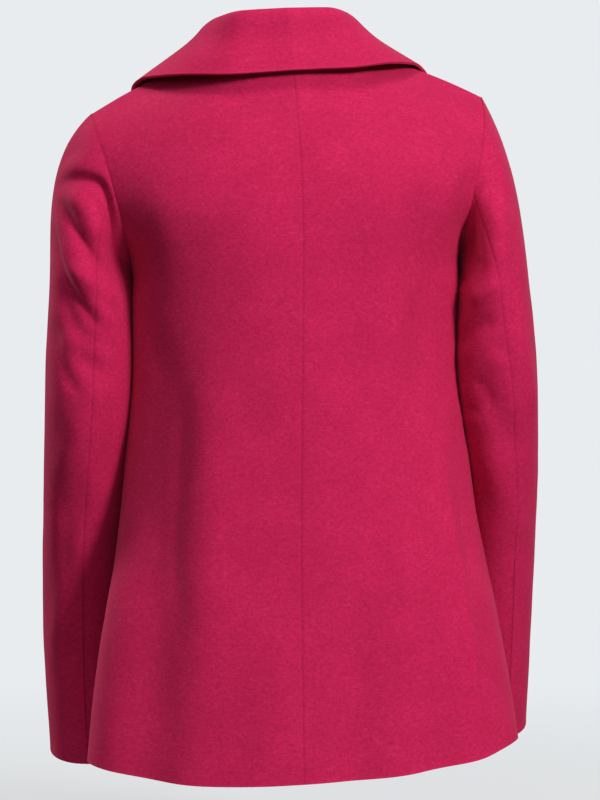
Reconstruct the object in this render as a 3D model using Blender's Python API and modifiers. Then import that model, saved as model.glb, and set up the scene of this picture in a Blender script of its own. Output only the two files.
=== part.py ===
"""Pea coat of pressed felted wool, worn: panels, sleeves, collar and buttons as closed walls.

Metres, +Z up. The front faces -Y, the back +Y, and the wearer's left is +X.
The origin is at the base of the neck, where the coat hangs from the shoulders.
"""

import math

import bmesh
import bpy
import numpy as np
from mathutils import Vector
from mathutils.bvhtree import BVHTree

# ---- sizes ------------------------------------------------------------------
CLOTH = 0.0022  # wall of the pressed wool
COLLAR_CLOTH = 0.0026
SEAM_GAP = 0.00021  # each piece stops this far before a flat seam
SHOULDER_GAP = 0.0009  # and this far before the shoulder seam, which is a ridge
LAYER = 0.0034  # from the middle of one layer to the middle of the next
OVERLAP = 0.075  # each front passes the centre by this
BREAK_Z = -0.272  # where the lapels start to turn back
NECK_ROLL = (0.066, -0.006)  # x and z where the roll of a lapel meets the neck
BUTTON_RADIUS = 0.0135
BUTTON_THICK = 0.0042
HOLE_RADIUS = 0.0012
HOLE_SPREAD = 0.0033
BUTTON_ROWS = (-0.300, -0.392, -0.484)
BUTTON_X = 0.052

BACK_COLUMNS = 14
PANEL_ROWS = 27
FRONT_COLUMNS = 14
LAPEL_COLUMNS = 8
UPPER_COLUMNS = 15
UNDER_COLUMNS = 8
SLEEVE_ROWS = 21
COLLAR_COLUMNS = 30
COLLAR_ROWS = 11
DENSE = 64  # fine steps that a panel's points are read from

# Level sections of the body below the arms: height at the middle and at the side,
# half width, depth behind and in front, how far back the side seam lies, and the
# squareness of the curve behind and in front.
LEVELS = (
    # z_mid, z_side, half, back, front, side_y, square_back, square_front
    (-0.690, -0.667, 0.2045, 0.142, 0.150, 0.044, 2.30, 2.00),
    (-0.620, -0.606, 0.1970, 0.137, 0.150, 0.041, 2.30, 2.02),
    (-0.545, -0.538, 0.1865, 0.132, 0.148, 0.034, 2.30, 2.05),
    (-0.465, -0.463, 0.1735, 0.127, 0.145, 0.016, 2.30, 2.10),
    (-0.375, -0.374, 0.1650, 0.123, 0.142, -0.008, 2.15, 2.20),
    (-0.295, -0.295, 0.1630, 0.121, 0.142, -0.020, 2.05, 2.30),
    (-0.218, -0.207, 0.1575, 0.118, 0.138, -0.004, 2.25, 2.35),
)

# Sections of the back above the arms, from the centre seam out to the armhole.
BACK_TOP = (
    ((0, 0.1130, -0.150), (0.070, 0.1110, -0.152), (0.130, 0.0900, -0.156), (0.1665, 0.048, -0.160)),
    ((0, 0.0990, -0.090), (0.070, 0.0960, -0.092), (0.132, 0.0800, -0.100), (0.1780, 0.054, -0.112)),
    ((0, 0.0800, -0.042), (0.066, 0.0700, -0.040), (0.132, 0.0520, -0.058), (0.1865, 0.033, -0.073)),
)
BACK_NECK = ((0, 0.0560, 0.000), (0.040, 0.0490, 0.000), (0.066, 0.0240, 0.0015), (0.076, -0.001, 0.003))

# Sections of the front above the arms, from the armhole in to the centre.
FRONT_TOP = (
    ((0.1500, -0.050, -0.166), (0.120, -0.096, -0.160), (0.070, -0.124, -0.156), (0, -0.132, -0.154)),
    ((0.1520, -0.060, -0.122), (0.120, -0.084, -0.108), (0.070, -0.103, -0.100), (0, -0.112, -0.098)),
    ((0.1700, -0.040, -0.080), (0.128, -0.052, -0.060), (0.074, -0.070, -0.045), (0, -0.086, -0.044)),
)
FRONT_NECK = ((0.076, -0.001, 0.003), (0.073, -0.020, 0.000), (0.066, -0.037, -0.006))
THROAT = ((0.066, -0.037, -0.006), (0.035, -0.052, -0.010), (0, -0.060, -0.012))
SHOULDER = ((0.076, -0.001, 0.003), (0.132, 0.000, -0.0198), (0.164, 0.000, -0.0345), (0.190, 0.000, -0.0485))
BACK_CORNER = 6 / BACK_COLUMNS  # share of the top row where the neck ends
FRONT_CORNER, ROLL_CORNER = 0.526, 0.670

# How the worn coat leans and turns with height.
POSE = (
    # z, shift_x, turn_degrees
    (-0.72, -0.008, 0.0),
    (-0.45, -0.001, 2.0),
    (-0.20, 0.001, 4.0),
    (-0.05, 0.008, 6.0),
    (0.05, 0.019, 8.0),
)
TILT = 0.053  # the wearer's right side is carried a little higher

# The turned lapel: where its free edge lies for each height along the roll.
LAPEL = (
    # z_roll, x_edge, z_edge
    (-0.272, -0.069, -0.2725),
    (-0.250, -0.036, -0.257),
    (-0.220, 0.006, -0.240),
    (-0.180, 0.050, -0.213),
    (-0.130, 0.088, -0.178),
    (-0.075, 0.113, -0.138),
    (-0.035, 0.128, -0.113),
    (-0.006, 0.137, -0.092),
)
NOTCH = (0.098, -0.062)  # where the collar leaves the lapel's top edge

# Rings of the sleeves below the armholes: middle, half width, half depth and how
# far the ring tips back, for each arm.
LEFT_ARM = (
    # z, x, y, half_x, half_y, tip
    (-0.236, 0.1975, 0.006, 0.0405, 0.060, 0.00),
    (-0.290, 0.1985, 0.006, 0.0423, 0.059, 0.03),
    (-0.348, 0.2008, -0.003, 0.0424, 0.058, 0.10),
    (-0.406, 0.2045, -0.026, 0.0413, 0.056, 0.18),
    (-0.464, 0.2078, -0.051, 0.0408, 0.054, 0.24),
    (-0.522, 0.2098, -0.072, 0.0405, 0.053, 0.28),
    (-0.578, 0.2104, -0.090, 0.0400, 0.052, 0.29),
    (-0.632, 0.2096, -0.104, 0.0392, 0.051, 0.27),
    (-0.683, 0.2078, -0.116, 0.0388, 0.050, 0.24),
)
RIGHT_ARM = (
    (-0.226, -0.1915, 0.004, 0.0340, 0.060, 0.00),
    (-0.276, -0.1925, 0.002, 0.0385, 0.060, 0.03),
    (-0.330, -0.1945, -0.008, 0.0395, 0.059, 0.12),
    (-0.386, -0.1985, -0.031, 0.0380, 0.057, 0.22),
    (-0.442, -0.1995, -0.056, 0.0372, 0.055, 0.28),
    (-0.498, -0.1988, -0.077, 0.0368, 0.054, 0.31),
    (-0.553, -0.1975, -0.094, 0.0366, 0.053, 0.31),
    (-0.606, -0.1962, -0.108, 0.0364, 0.051, 0.29),
    (-0.657, -0.1948, -0.120, 0.0362, 0.050, 0.27),
)
ARMHOLE_GAP = {1: (0.0003, 0.0019), -1: (0.0004, 0.0027)}  # at the shoulder, and more below
SLEEVE_HEAD = {1: 0.84, -1: 0.34}  # how far out each sleeve leaves the shoulder
ELBOW_SEAM = {1: 92.0, -1: 68.0}  # degrees round from the outer side towards the back
FRONT_SEAM = 232.0
ARM_CLEARANCE = {1: 0.0052, -1: 0.0046}  # the body cloth is pressed in this far clear of a sleeve

# Stations of half the collar: neck seam, top of the fold, free edge and how round it turns.
COLLAR = (
    # station, seam, fold, edge, roundness
    (0.00, (0.0000, 0.0560, 0.0015), (0.0000, 0.0620, 0.0375), (0.0000, 0.0900, -0.0230), 1.0),
    (0.20, (0.0400, 0.0490, 0.0015), (0.0400, 0.0545, 0.0375), (0.0540, 0.0860, -0.0240), 1.0),
    (0.38, (0.0660, 0.0240, 0.0030), (0.0610, 0.0300, 0.0352), (0.1050, 0.0560, -0.0195), 1.0),
    (0.50, (0.0758, -0.001, 0.0046), (0.0745, 0.0000, 0.0265), (0.1360, 0.0130, -0.0170), 1.0),
    (0.60, (0.0733, -0.020, 0.0034), (0.0762, -0.024, 0.0170), (0.1480, -0.006, -0.0235), 0.8),
    (0.66, (0.0672, -0.036, -0.001), (0.0712, -0.042, 0.0050), (0.1500, -0.017, -0.0335), 0.5),
)
# On the chest the collar lies on the fronts: x and z of its seam and of its edge, and
# how far it stands off between them.
COLLAR_FRONT = (
    # station, x_seam, z_seam, x_edge, z_edge, bow
    (0.72, 0.0738, -0.0138, 0.1502, -0.0450, 0.0090),
    (0.86, 0.0860, -0.0352, 0.1485, -0.0590, 0.0030),
    (1.00, 0.0995, -0.0584, 0.1455, -0.0710, 0.0005),
)

# Soft folds: the path of each from its first to its last point, half width, and height
# out of the cloth, negative for a trough.
BACK_FOLDS = (
    # x_first, z_first, x_last, z_last, half_width, height
    (0.082, -0.240, 0.088, -0.640, 0.030, 0.0055),
    (0.121, -0.200, 0.136, -0.700, 0.030, -0.0080),
    (0.165, -0.400, 0.180, -0.720, 0.022, 0.0040),
    (-0.119, -0.100, -0.124, -0.350, 0.018, -0.0050),
    (-0.126, -0.330, -0.172, -0.720, 0.020, 0.0055),
    (-0.140, -0.560, -0.132, -0.720, 0.022, -0.0060),
    (-0.075, -0.060, -0.100, -0.400, 0.026, 0.0035),
    (-0.050, -0.140, -0.046, -0.360, 0.022, -0.0028),
    (-0.057, -0.500, -0.057, -0.740, 0.024, -0.0060),
    (0.020, -0.520, 0.018, -0.740, 0.030, 0.0030),
)
FRONT_FOLDS = (
    (0.118, -0.300, 0.125, -0.720, 0.028, -0.0070),
    (0.150, -0.440, 0.165, -0.720, 0.020, 0.0045),
    (0.092, -0.180, 0.084, -0.640, 0.030, 0.0045),
    (-0.122, -0.290, -0.128, -0.720, 0.028, -0.0070),
    (-0.152, -0.440, -0.165, -0.720, 0.020, 0.0045),
    (-0.094, -0.200, -0.088, -0.600, 0.030, 0.0040),
    (0.030, -0.520, 0.026, -0.720, 0.032, -0.0035),
)
# The same on a sleeve, by degrees round it and height.
LEFT_SLEEVE_FOLDS = (
    # degrees_first, z_first, degrees_last, z_last, half_width, height
    (60, -0.120, 150, -0.250, 0.014, -0.0055),
    (45, -0.170, 130, -0.285, 0.012, 0.0045),
    (40, -0.210, 115, -0.330, 0.013, -0.0050),
    (115, -0.300, 60, -0.420, 0.016, 0.0040),
    (130, -0.360, 70, -0.470, 0.014, -0.0040),
    (100, -0.450, 45, -0.600, 0.016, 0.0030),
    (250, -0.330, 320, -0.410, 0.016, -0.0055),
    (235, -0.380, 300, -0.450, 0.014, 0.0040),
)
RIGHT_SLEEVE_FOLDS = (
    (120, -0.110, 135, -0.230, 0.014, -0.0050),
    (75, -0.130, 100, -0.260, 0.014, 0.0040),
    (70, -0.250, 30, -0.360, 0.014, 0.0040),
    (125, -0.290, 60, -0.400, 0.015, -0.0045),
    (120, -0.370, 50, -0.480, 0.015, 0.0035),
    (250, -0.320, 320, -0.400, 0.016, -0.0055),
    (235, -0.370, 300, -0.440, 0.014, 0.0040),
)

WOOL = (0.434, 0.0130, 0.0650, 1)
BUTTON_COLOUR = (0.180, 0.0070, 0.0300, 1)


# ---- curves and surfaces ------------------------------------------------------
def spline(at, points, wanted):
    """A smooth curve through the points, read at the wanted places."""
    at, points = np.asarray(at, float), np.asarray(points, float)
    count = len(at)
    step = np.diff(at)
    rise = np.diff(points, axis=0) / step.reshape((-1,) + (1,) * (points.ndim - 1))
    bend = np.zeros_like(points)
    if count > 2:
        system = np.zeros((count - 2, count - 2))
        for i in range(count - 2):
            system[i, i] = 2 * (step[i] + step[i + 1])
            if i:
                system[i, i - 1] = step[i]
            if i < count - 3:
                system[i, i + 1] = step[i + 1]
        change = 6 * (rise[1:] - rise[:-1])
        solved = np.linalg.solve(system, change.reshape(count - 2, -1))
        bend[1:-1] = solved.reshape(bend[1:-1].shape)
    found = []
    for place in np.atleast_1d(wanted):
        i = int(np.clip(np.searchsorted(at, place) - 1, 0, count - 2))
        h, low, high = step[i], place - at[i], at[i + 1] - place
        found.append(
            (bend[i] * high**3 + bend[i + 1] * low**3) / (6 * h)
            + (points[i + 1] / h - bend[i + 1] * h / 6) * low
            + (points[i] / h - bend[i] * h / 6) * high
        )
    return np.array(found)


def steady(at, points, wanted):
    """A curve through the points that never swings past them."""
    at, points = np.asarray(at, float), np.asarray(points, float)
    shape = points.shape[1:]
    flat = points.reshape(len(at), -1)
    step = np.diff(at)[:, None]
    rise = np.diff(flat, axis=0) / step
    slope = np.zeros_like(flat)
    slope[0], slope[-1] = rise[0], rise[-1]
    same = rise[1:] * rise[:-1] > 0
    total = np.where(same, rise[1:] + rise[:-1], 1.0)
    slope[1:-1] = np.where(same, 2 * rise[1:] * rise[:-1] / total, 0.0)
    wanted = np.atleast_1d(wanted)
    i = np.clip(np.searchsorted(at, wanted) - 1, 0, len(at) - 2)
    t = np.clip((wanted - at[i])[:, None] / step[i], 0, 1)
    near = flat[i] * (1 + 2 * t) * (1 - t) ** 2 + flat[i + 1] * t * t * (3 - 2 * t)
    near = near + step[i] * (slope[i] * t * (1 - t) ** 2 - slope[i + 1] * t * t * (1 - t))
    return near.reshape((len(wanted),) + shape)


def along(points):
    """How far along its own length each point of a line lies, from 0 to 1."""
    steps = np.linalg.norm(np.diff(points, axis=0), axis=1)
    run = np.concatenate([[0], np.cumsum(steps)])
    return run / run[-1]


def evenly(points, count):
    """The line again, as this many points at even spacing."""
    run = along(points)
    wanted = np.linspace(0, 1, count)
    return np.stack([np.interp(wanted, run, points[:, k]) for k in range(3)], axis=1)


def smooth_line(points, count=160):
    points = np.asarray(points, float)
    return evenly(spline(along(points), points, np.linspace(0, 1, 200)), count)


def soft_step(value):
    value = np.clip(value, 0, 1)
    return value * value * (3 - 2 * value)


def level_curve(row, behind):
    """A quarter of the body at one level, from the middle of the back or front to the side."""
    z_mid, z_side, half, back, front, side_y, square_back, square_front = row
    depth = back - side_y if behind else -front - side_y
    power = 2 / (square_back if behind else square_front)
    turn = np.linspace(0, math.pi / 2, 240)
    x = half * np.sin(turn) ** power
    y = side_y + depth * np.cos(turn) ** power
    z = z_mid + (z_side - z_mid) * (x / half) ** 3
    return evenly(np.stack([x, y, z], axis=1), DENSE + 1)


def joined(parts, shares):
    """Several smooth lines end to end, with their corners at the given shares of the row."""
    rows, start = [], 0
    for part, share in zip(parts, shares):
        count = round(share * DENSE) - start
        rows.append(smooth_line(part)[0:1] if start == 0 else np.zeros((0, 3)))
        rows.append(evenly(smooth_line(part), count + 1)[1:])
        start += count
    return np.concatenate(rows)


def surface(rows):
    """A smooth sheet through the rows, as a grid of points from the hem up."""
    rows = np.stack(rows)
    steps = np.linalg.norm(np.diff(rows, axis=0), axis=2).mean(axis=1)
    run = np.concatenate([[0], np.cumsum(steps)])
    run /= run[-1]
    return run, spline(run, rows, np.linspace(0, 1, 2 * DENSE + 1))


def same_seam(run, sheet, column, inner):
    """The sheet with its side edge brought onto the one line that back and front share."""
    table = np.array([(row[1], row[2], row[5]) for row in LEVELS])
    ups = np.linspace(0, 1, len(sheet))
    weight = soft_step(1 - np.abs(np.arange(sheet.shape[1]) - column % sheet.shape[1]) / inner)
    for i in np.flatnonzero(ups <= run[len(LEVELS) - 1]):
        edge = sheet[i, column]
        x, y = spline(table[:, 0], table[:, 1:], edge[2])[0]
        sheet[i] += weight[:, None] * (np.array([x, y, edge[2]]) - edge)
    return run, sheet


def back_sheet():
    rows = [level_curve(row, True) for row in LEVELS]
    rows += [evenly(smooth_line(row), DENSE + 1) for row in BACK_TOP]
    rows.append(joined((BACK_NECK, SHOULDER), (BACK_CORNER, 1)))
    return same_seam(*surface(rows), -1, DENSE // 2)


def front_sheet():
    rows = [level_curve(row, False)[::-1] for row in LEVELS]
    rows += [evenly(smooth_line(row), DENSE + 1) for row in FRONT_TOP]
    parts = (SHOULDER[::-1], FRONT_NECK, THROAT)
    rows.append(joined(parts, (FRONT_CORNER, ROLL_CORNER, 1)))
    return same_seam(*surface(rows), 0, DENSE // 2)


def normals_of(grid):
    """A unit vector square to the sheet at each point of a grid."""
    normal = np.cross(np.gradient(grid, axis=1), np.gradient(grid, axis=0))
    return normal / np.maximum(np.linalg.norm(normal, axis=2, keepdims=True), 1e-12)


def with_normals(sheet, way):
    """The sheet's points and, beside each, the way straight out of the coat there."""
    normal = normals_of(sheet)
    if normal[:, :, 1].sum() * way < 0:
        normal = -normal
    return np.concatenate([sheet, normal], axis=2)


def read(sheet, across, up, lift=0.0):
    """A point of a sheet at two shares, moved out by a lift. Past the centre it is mirrored."""
    mirrored = across > 1
    across = 2 - across if mirrored else across
    rows, columns = sheet.shape[0] - 1, sheet.shape[1] - 1
    i, j = min(int(up * rows), rows - 1), min(int(across * columns), columns - 1)
    a, b = up * rows - i, across * columns - j
    value = (sheet[i, j] * (1 - b) + sheet[i, j + 1] * b) * (1 - a)
    value = value + (sheet[i + 1, j] * (1 - b) + sheet[i + 1, j + 1] * b) * a
    point = value[:3] + value[3:] * lift
    return point * (-1, 1, 1) if mirrored else point


# ---- the worn pose -------------------------------------------------------------
def posed(point):
    """Where a point of the symmetrical coat comes to lie as it is worn."""
    x, y, z = point
    table = np.array(POSE)
    shift, turn = steady(table[:, 0], table[:, 1:], z)[0]
    turn = math.radians(float(turn))
    x, y = math.cos(turn) * x - math.sin(turn) * y, math.sin(turn) * x + math.cos(turn) * y
    return np.array([x + shift, y, z - TILT * x])


def arm_ring(table, z):
    """The middle and half sizes of a sleeve at a height."""
    rows = np.array(table)[::-1]
    return [float(v) for v in spline(rows[:, 0], rows[:, 1:], np.clip(z, rows[0, 0], rows[-1, 0]))[0]]


def pressed(point):
    """The body cloth kept clear of the sleeves, as an arm presses it in."""
    x, y, z = point
    table = LEFT_ARM if x > 0 else RIGHT_ARM
    if z > table[0][0] + 0.03:
        return point
    mid_x, mid_y, half_x, half_y, tip = arm_ring(table, z)
    clear = ARM_CLEARANCE[1 if x > 0 else -1]
    wide = half_x + clear
    deep = half_y * math.sqrt(1 + 1.6 * tip * tip) + clear
    off = np.array([(x - mid_x) / wide, (y - mid_y) / deep])
    size = float(np.linalg.norm(off))
    keep = 1 + 0.10 * math.exp(-max(size - 1, 0) / 0.10) if size > 1 else 1.10
    share = float(soft_step((table[0][0] + 0.03 - z) / 0.03))
    if size < keep:
        off = off / max(size, 1e-6) * (size + (keep - size) * share)
        return np.array([mid_x + off[0] * wide, mid_y + off[1] * deep, z])
    return point


def fold_height(x, z, folds):
    """How far the folds lift or sink the cloth at a place."""
    total = 0.0
    for x0, z0, x1, z1, half, height in folds:
        length = math.hypot(x1 - x0, z1 - z0)
        run = ((x - x0) * (x1 - x0) + (z - z0) * (z1 - z0)) / length**2
        aside = ((x - x0) * (z1 - z0) - (z - z0) * (x1 - x0)) / length
        ends = float(soft_step(run / 0.40))
        if z1 > -0.70:  # any other fold runs out over the hem
            ends *= float(soft_step((1 - run) / 0.35))
        total += height * ends * math.exp(-((aside / half) ** 2))
    return total


def worn(point):
    """Where a point of the flat-laid coat lies as worn, with its folds and clear of the arms."""
    x, y, z = posed(point)
    behind = float(soft_step((y - 0.010) / 0.060))
    before = float(soft_step((-0.010 - y) / 0.060))
    lift = behind * fold_height(x, z, BACK_FOLDS) + before * fold_height(x, z, FRONT_FOLDS)
    out = np.array([0.75 * x, y, 0.0])
    out /= max(float(np.linalg.norm(out)), 1e-6)
    return pressed(np.array([x, y, z]) + out * lift)


def wear(grid):
    return np.array([[worn(point) for point in row] for row in grid])


# ---- walls ----------------------------------------------------------------------
def material(name, colour, roughness):
    made = bpy.data.materials.new(name)
    made.use_nodes = True
    shader = made.node_tree.nodes["Principled BSDF"]
    shader.inputs["Base Color"].default_value = colour
    shader.inputs["Roughness"].default_value = roughness
    shader.inputs["Metallic"].default_value = 0.0
    made.diffuse_color = colour
    return made


def sheet_object(name, grid, thickness, colour, roughness=0.9):
    """A grid of points as a cloth wall of even thickness about them."""
    rows, columns = grid.shape[:2]
    bpy.ops.mesh.primitive_grid_add(x_subdivisions=columns - 1, y_subdivisions=rows - 1, size=1)
    piece = bpy.context.object
    piece.name = name
    piece.data.name = name
    order = sorted(range(rows * columns), key=lambda i: grid_key(piece.data.vertices[i].co))
    for place, index in enumerate(order):
        piece.data.vertices[index].co = grid[place // columns][place % columns]
    shape = bmesh.new()
    shape.from_mesh(piece.data)
    bmesh.ops.recalc_face_normals(shape, faces=shape.faces)
    shape.to_mesh(piece.data)
    shape.free()
    wall = piece.modifiers.new("wall", "SOLIDIFY")
    wall.thickness = thickness
    wall.offset = 0.0
    wall.use_even_offset = False
    piece.data.materials.append(material(name + "_wool", colour, roughness))
    collect(piece)
    return piece


def grid_key(place):
    return round(place.y, 5), round(place.x, 5)


def collect(piece):
    for home in list(piece.users_collection):
        home.objects.unlink(piece)
    bpy.data.collections["pea_coat"].objects.link(piece)
    piece.select_set(False)


def inset(grid, sides, size):
    """The grid with some of its edges drawn in, for the gap at a seam."""
    grid = grid.copy()
    for side in sides:
        edge, inner = {
            "first": (np.s_[:, 0], np.s_[:, 1]),
            "last": (np.s_[:, -1], np.s_[:, -2]),
            "bottom": (np.s_[0, :], np.s_[1, :]),
            "top": (np.s_[-1, :], np.s_[-2, :]),
        }[side]
        way = grid[inner] - grid[edge]
        grid[edge] = grid[edge] + way / np.linalg.norm(way, axis=-1, keepdims=True) * size
    return grid


# ---- back and fronts ----------------------------------------------------------------
def row_shares(sheet, run, column, rows):
    """Where a panel's rows lie: at the same heights on the side seam of back and front, then even."""
    below = run[len(LEVELS) - 1]
    lower = round(rows * 0.70)
    ups = np.linspace(0, 1, len(sheet))
    seam = ups <= below
    heights = np.linspace(LEVELS[0][1], LEVELS[-1][1], lower + 1)
    shares = np.interp(heights, sheet[seam, column, 2], ups[seam])
    shares[0], shares[-1] = 0, below
    return np.concatenate([shares, np.linspace(below, 1, rows - lower + 1)[1:]])


def make_back(side, sheet, run):
    grid = np.array([
        [read(sheet, j / BACK_COLUMNS, up) * (side, 1, 1) for j in range(BACK_COLUMNS + 1)]
        for up in row_shares(sheet, run, -1, PANEL_ROWS)
    ])
    grid = wear(grid)
    grid = inset(inset(grid, ("first",), SEAM_GAP), ("last",), SEAM_GAP * 1.5)
    grid = inset(grid, ("top",), SHOULDER_GAP)
    name = "back_left" if side > 0 else "back_right"
    return sheet_object(name, grid, CLOTH, WOOL)


def roll_x(z):
    """Where the front edge, or the roll of the lapel above it, lies at a height."""
    if z < BREAK_Z:
        return -OVERLAP
    share = (z - BREAK_Z) / (NECK_ROLL[1] - BREAK_Z)
    return -OVERLAP + (NECK_ROLL[0] + OVERLAP) * share


def layer_lift(x, z, upper):
    """How far a front lies out of the common surface where the two overlap. x is its own way."""
    near = float(soft_step((0.118 - x) / 0.030))
    if not upper:
        return -0.0021 * near
    double = float(soft_step((z + 0.335) / 0.040) * soft_step((-0.060 - z) / 0.060))
    return near * (0.0017 + LAYER * double)


def front_tree(sheet):
    """The front's own points as a surface that other pieces are laid on."""
    under = sheet[:1, :, :3] + (sheet[:1, :, :3] - sheet[4:5, :, :3])
    whole = np.concatenate([under, sheet[:, :, :3]])
    rows, columns = whole.shape[:2]
    points = [Vector(p) for row in whole for p in row]
    faces = [
        (i * columns + j, i * columns + j + 1, (i + 1) * columns + j + 1, (i + 1) * columns + j)
        for i in range(rows - 1)
        for j in range(columns - 1)
    ]
    return BVHTree.FromPolygons(points, faces)


def laid(tree, x, z, lift):
    """The place on the front at x and z, moved out by a lift."""
    hit, normal, _, _ = tree.ray_cast(Vector((abs(x), -1, z)), Vector((0, 1, 0)))
    if hit is None:
        hit, normal, _, _ = tree.find_nearest(Vector((abs(x), -0.06, z)))
    normal = normal if normal.y < 0 else -normal
    normal = (normal + Vector((0, -0.25, 0))).normalized()
    point = np.array(hit) + np.array(normal) * lift
    return point * (math.copysign(1, x), 1, 1)


def lapel_edge(z_roll):
    table = np.array(LAPEL)
    return spline(table[:, 0], table[:, 1:], z_roll)[0]


def front_grid(side, sheet, run, tree, columns, strips, rows):
    """One front in its own way, +x outwards: panel, roll and turned lapel."""
    upper = side < 0
    grid = []
    for up in row_shares(sheet, run, 0, rows):
        low, high = 0.3, 1.6
        for _ in range(40):
            edge = (low + high) / 2
            x, _, z = read(sheet, edge, up)
            low, high = (edge, high) if x > roll_x(z) else (low, edge)
        row = []
        for j in range(columns + 1):
            point = read(sheet, edge * j / columns, up)
            lift = layer_lift(point[0], point[2], upper)
            row.append(read(sheet, edge * j / columns, up, lift))
        x_roll, z_roll = row[-1][0], row[-1][2]
        turned = float(soft_step((z_roll - BREAK_Z - 0.002) / 0.022))
        x_edge, z_edge = lapel_edge(max(z_roll, BREAK_Z)) if z_roll > BREAK_Z else (x_roll + 0.004, z_roll)
        under = layer_lift(x_roll, z_roll, upper)
        for k in range(1, strips + 1):
            share = (k / strips) ** 1.25
            x, z = x_roll + (x_edge - x_roll) * share, z_roll + (z_edge - z_roll) * share
            if z_roll > NECK_ROLL[1] - 0.03:
                rise = float(soft_step((z_roll - NECK_ROLL[1] + 0.03) / 0.03))
                middle = (NOTCH[0] - NECK_ROLL[0]) / (x_edge - x_roll)
                bow = (share / middle) if share < middle else (1 - share) / (1 - middle)
                line = z_roll + (z_edge - z_roll) * middle
                z += rise * bow * (NOTCH[1] - line)
            base = layer_lift(x, z, upper)
            far = laid(tree, x, z, base + LAYER * (1 + 0.5 * math.exp(-share * 5)))
            flat = laid(tree, x_roll - (x - x_roll), z, under)
            angle = math.pi * turned
            radius = LAYER * 0.5
            bulge = laid(tree, x_roll - radius * math.sin(angle) * (k == 1), z, under + radius)
            if k == 1:
                far = far * 0.35 + bulge * 0.65
            row.append(far * turned + flat * (1 - turned))
        grid.append(row)
    return np.array(grid)


def make_front(side, sheet, run, tree):
    grid = front_grid(side, sheet, run, tree, FRONT_COLUMNS, LAPEL_COLUMNS, PANEL_ROWS)
    grid = wear(grid * (side, 1, 1))
    grid = inset(grid, ("first",), SEAM_GAP * 1.5)
    edge = inset(grid, ("top",), SHOULDER_GAP)
    grid[:, : FRONT_COLUMNS + 1] = edge[:, : FRONT_COLUMNS + 1]
    name = "front_left" if side > 0 else "front_right"
    return sheet_object(name, grid, CLOTH, WOOL)


# ---- sleeves ----------------------------------------------------------------------------
def armhole(side, back, back_run, front, front_run):
    """The armhole as a closed line: from the shoulder tip down the back and up the front."""
    rows = np.linspace(0, 1, back.shape[0])
    behind = back[rows >= back_run[len(LEVELS) - 1]][::-1, -1, :3]
    before = front[rows >= front_run[len(LEVELS) - 1]][:, 0, :3]
    loop = np.concatenate([evenly(behind, 91)[:-1], evenly(before, 91)[:-1]])
    return np.array([worn(point * (side, 1, 1)) for point in loop])


def ring_point(side, row, degrees):
    z, x, y, half_x, half_y, tip = row
    turn = math.radians(degrees)
    power = 2 / 2.15
    out = math.copysign(abs(math.cos(turn)) ** power, math.cos(turn)) * half_x * side
    back = math.copysign(abs(math.sin(turn)) ** power, math.sin(turn)) * half_y
    return np.array([x + out, y + back, z - tip * back])


def sleeve_point(side, loop, table, degrees, share):
    """A point of the sleeve: degrees round from the outer side, share from armhole to cuff."""
    place = (degrees % 360) / 360 * len(loop)
    i = int(place) % len(loop)
    start = loop[i] * (1 - place % 1) + loop[(i + 1) % len(loop)] * (place % 1)
    first = ring_point(side, table[0], degrees)
    turn = math.radians(degrees)
    outward = 0.5 + 0.5 * math.cos(turn)
    leave = np.array([side * (0.16 + SLEEVE_HEAD[side] * outward), 0.22 * math.sin(turn), -0.85])
    leave /= np.linalg.norm(leave)
    near, below = ARMHOLE_GAP[side]
    start = start + leave * 0.0006
    start[0] += side * (near + below * float(soft_step(1 - outward)))
    chord = np.linalg.norm(first - start)
    cap = 0.30
    if share < cap:
        t = share / cap
        ahead = ring_point(side, table[1], degrees) - first
        ahead = ahead / np.linalg.norm(ahead)
        h00, h10 = 2 * t**3 - 3 * t**2 + 1, t**3 - 2 * t**2 + t
        h01, h11 = -2 * t**3 + 3 * t**2, t**3 - t**2
        return start * h00 + leave * chord * 1.05 * h10 + first * h01 + ahead * chord * 0.95 * h11
    rings = np.array([ring_point(side, row, degrees) for row in table])
    t = (share - cap) / (1 - cap)
    return spline(np.linspace(0, 1, len(table)), rings, t)[0]


def sleeve_fold(degrees, z, radius, folds):
    total = 0.0
    for d0, z0, d1, z1, half, height in folds:
        x0, x1 = math.radians(d0) * radius, math.radians(d1) * radius
        length = math.hypot(x1 - x0, z1 - z0)
        x = math.radians(degrees) * radius
        run = ((x - x0) * (x1 - x0) + (z - z0) * (z1 - z0)) / length**2
        aside = ((x - x0) * (z1 - z0) - (z - z0) * (x1 - x0)) / length
        ends = float(soft_step(run / 0.3) * soft_step((1 - run) / 0.3)) if 0 < run < 1 else 0.0
        total += height * ends * math.exp(-((aside / half) ** 2))
    return total


def closer_at_ends(share):
    """Even steps drawn together at a piece's two seams, where its wall has to follow the ring."""
    return share - 0.075 * math.sin(2 * math.pi * share)


def sleeve_grid(side, loop, first, last, columns, rows):
    table = LEFT_ARM if side > 0 else RIGHT_ARM
    folds = LEFT_SLEEVE_FOLDS if side > 0 else RIGHT_SLEEVE_FOLDS
    around = [first + (last - first) * closer_at_ends(j / columns) for j in range(columns + 1)]
    grid = np.array([
        [sleeve_point(side, loop, table, degrees, i / rows) for degrees in around]
        for i in range(rows + 1)
    ])
    for i in range(1, rows + 1):
        for j, degrees in enumerate(around):
            turn = math.radians(degrees)
            out = np.array([side * math.cos(turn) / 0.040, math.sin(turn) / 0.055, 0])
            lift = sleeve_fold(degrees % 360, grid[i, j, 2], 0.048, folds)
            grid[i, j] += out / np.linalg.norm(out) * lift
    return grid


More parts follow.
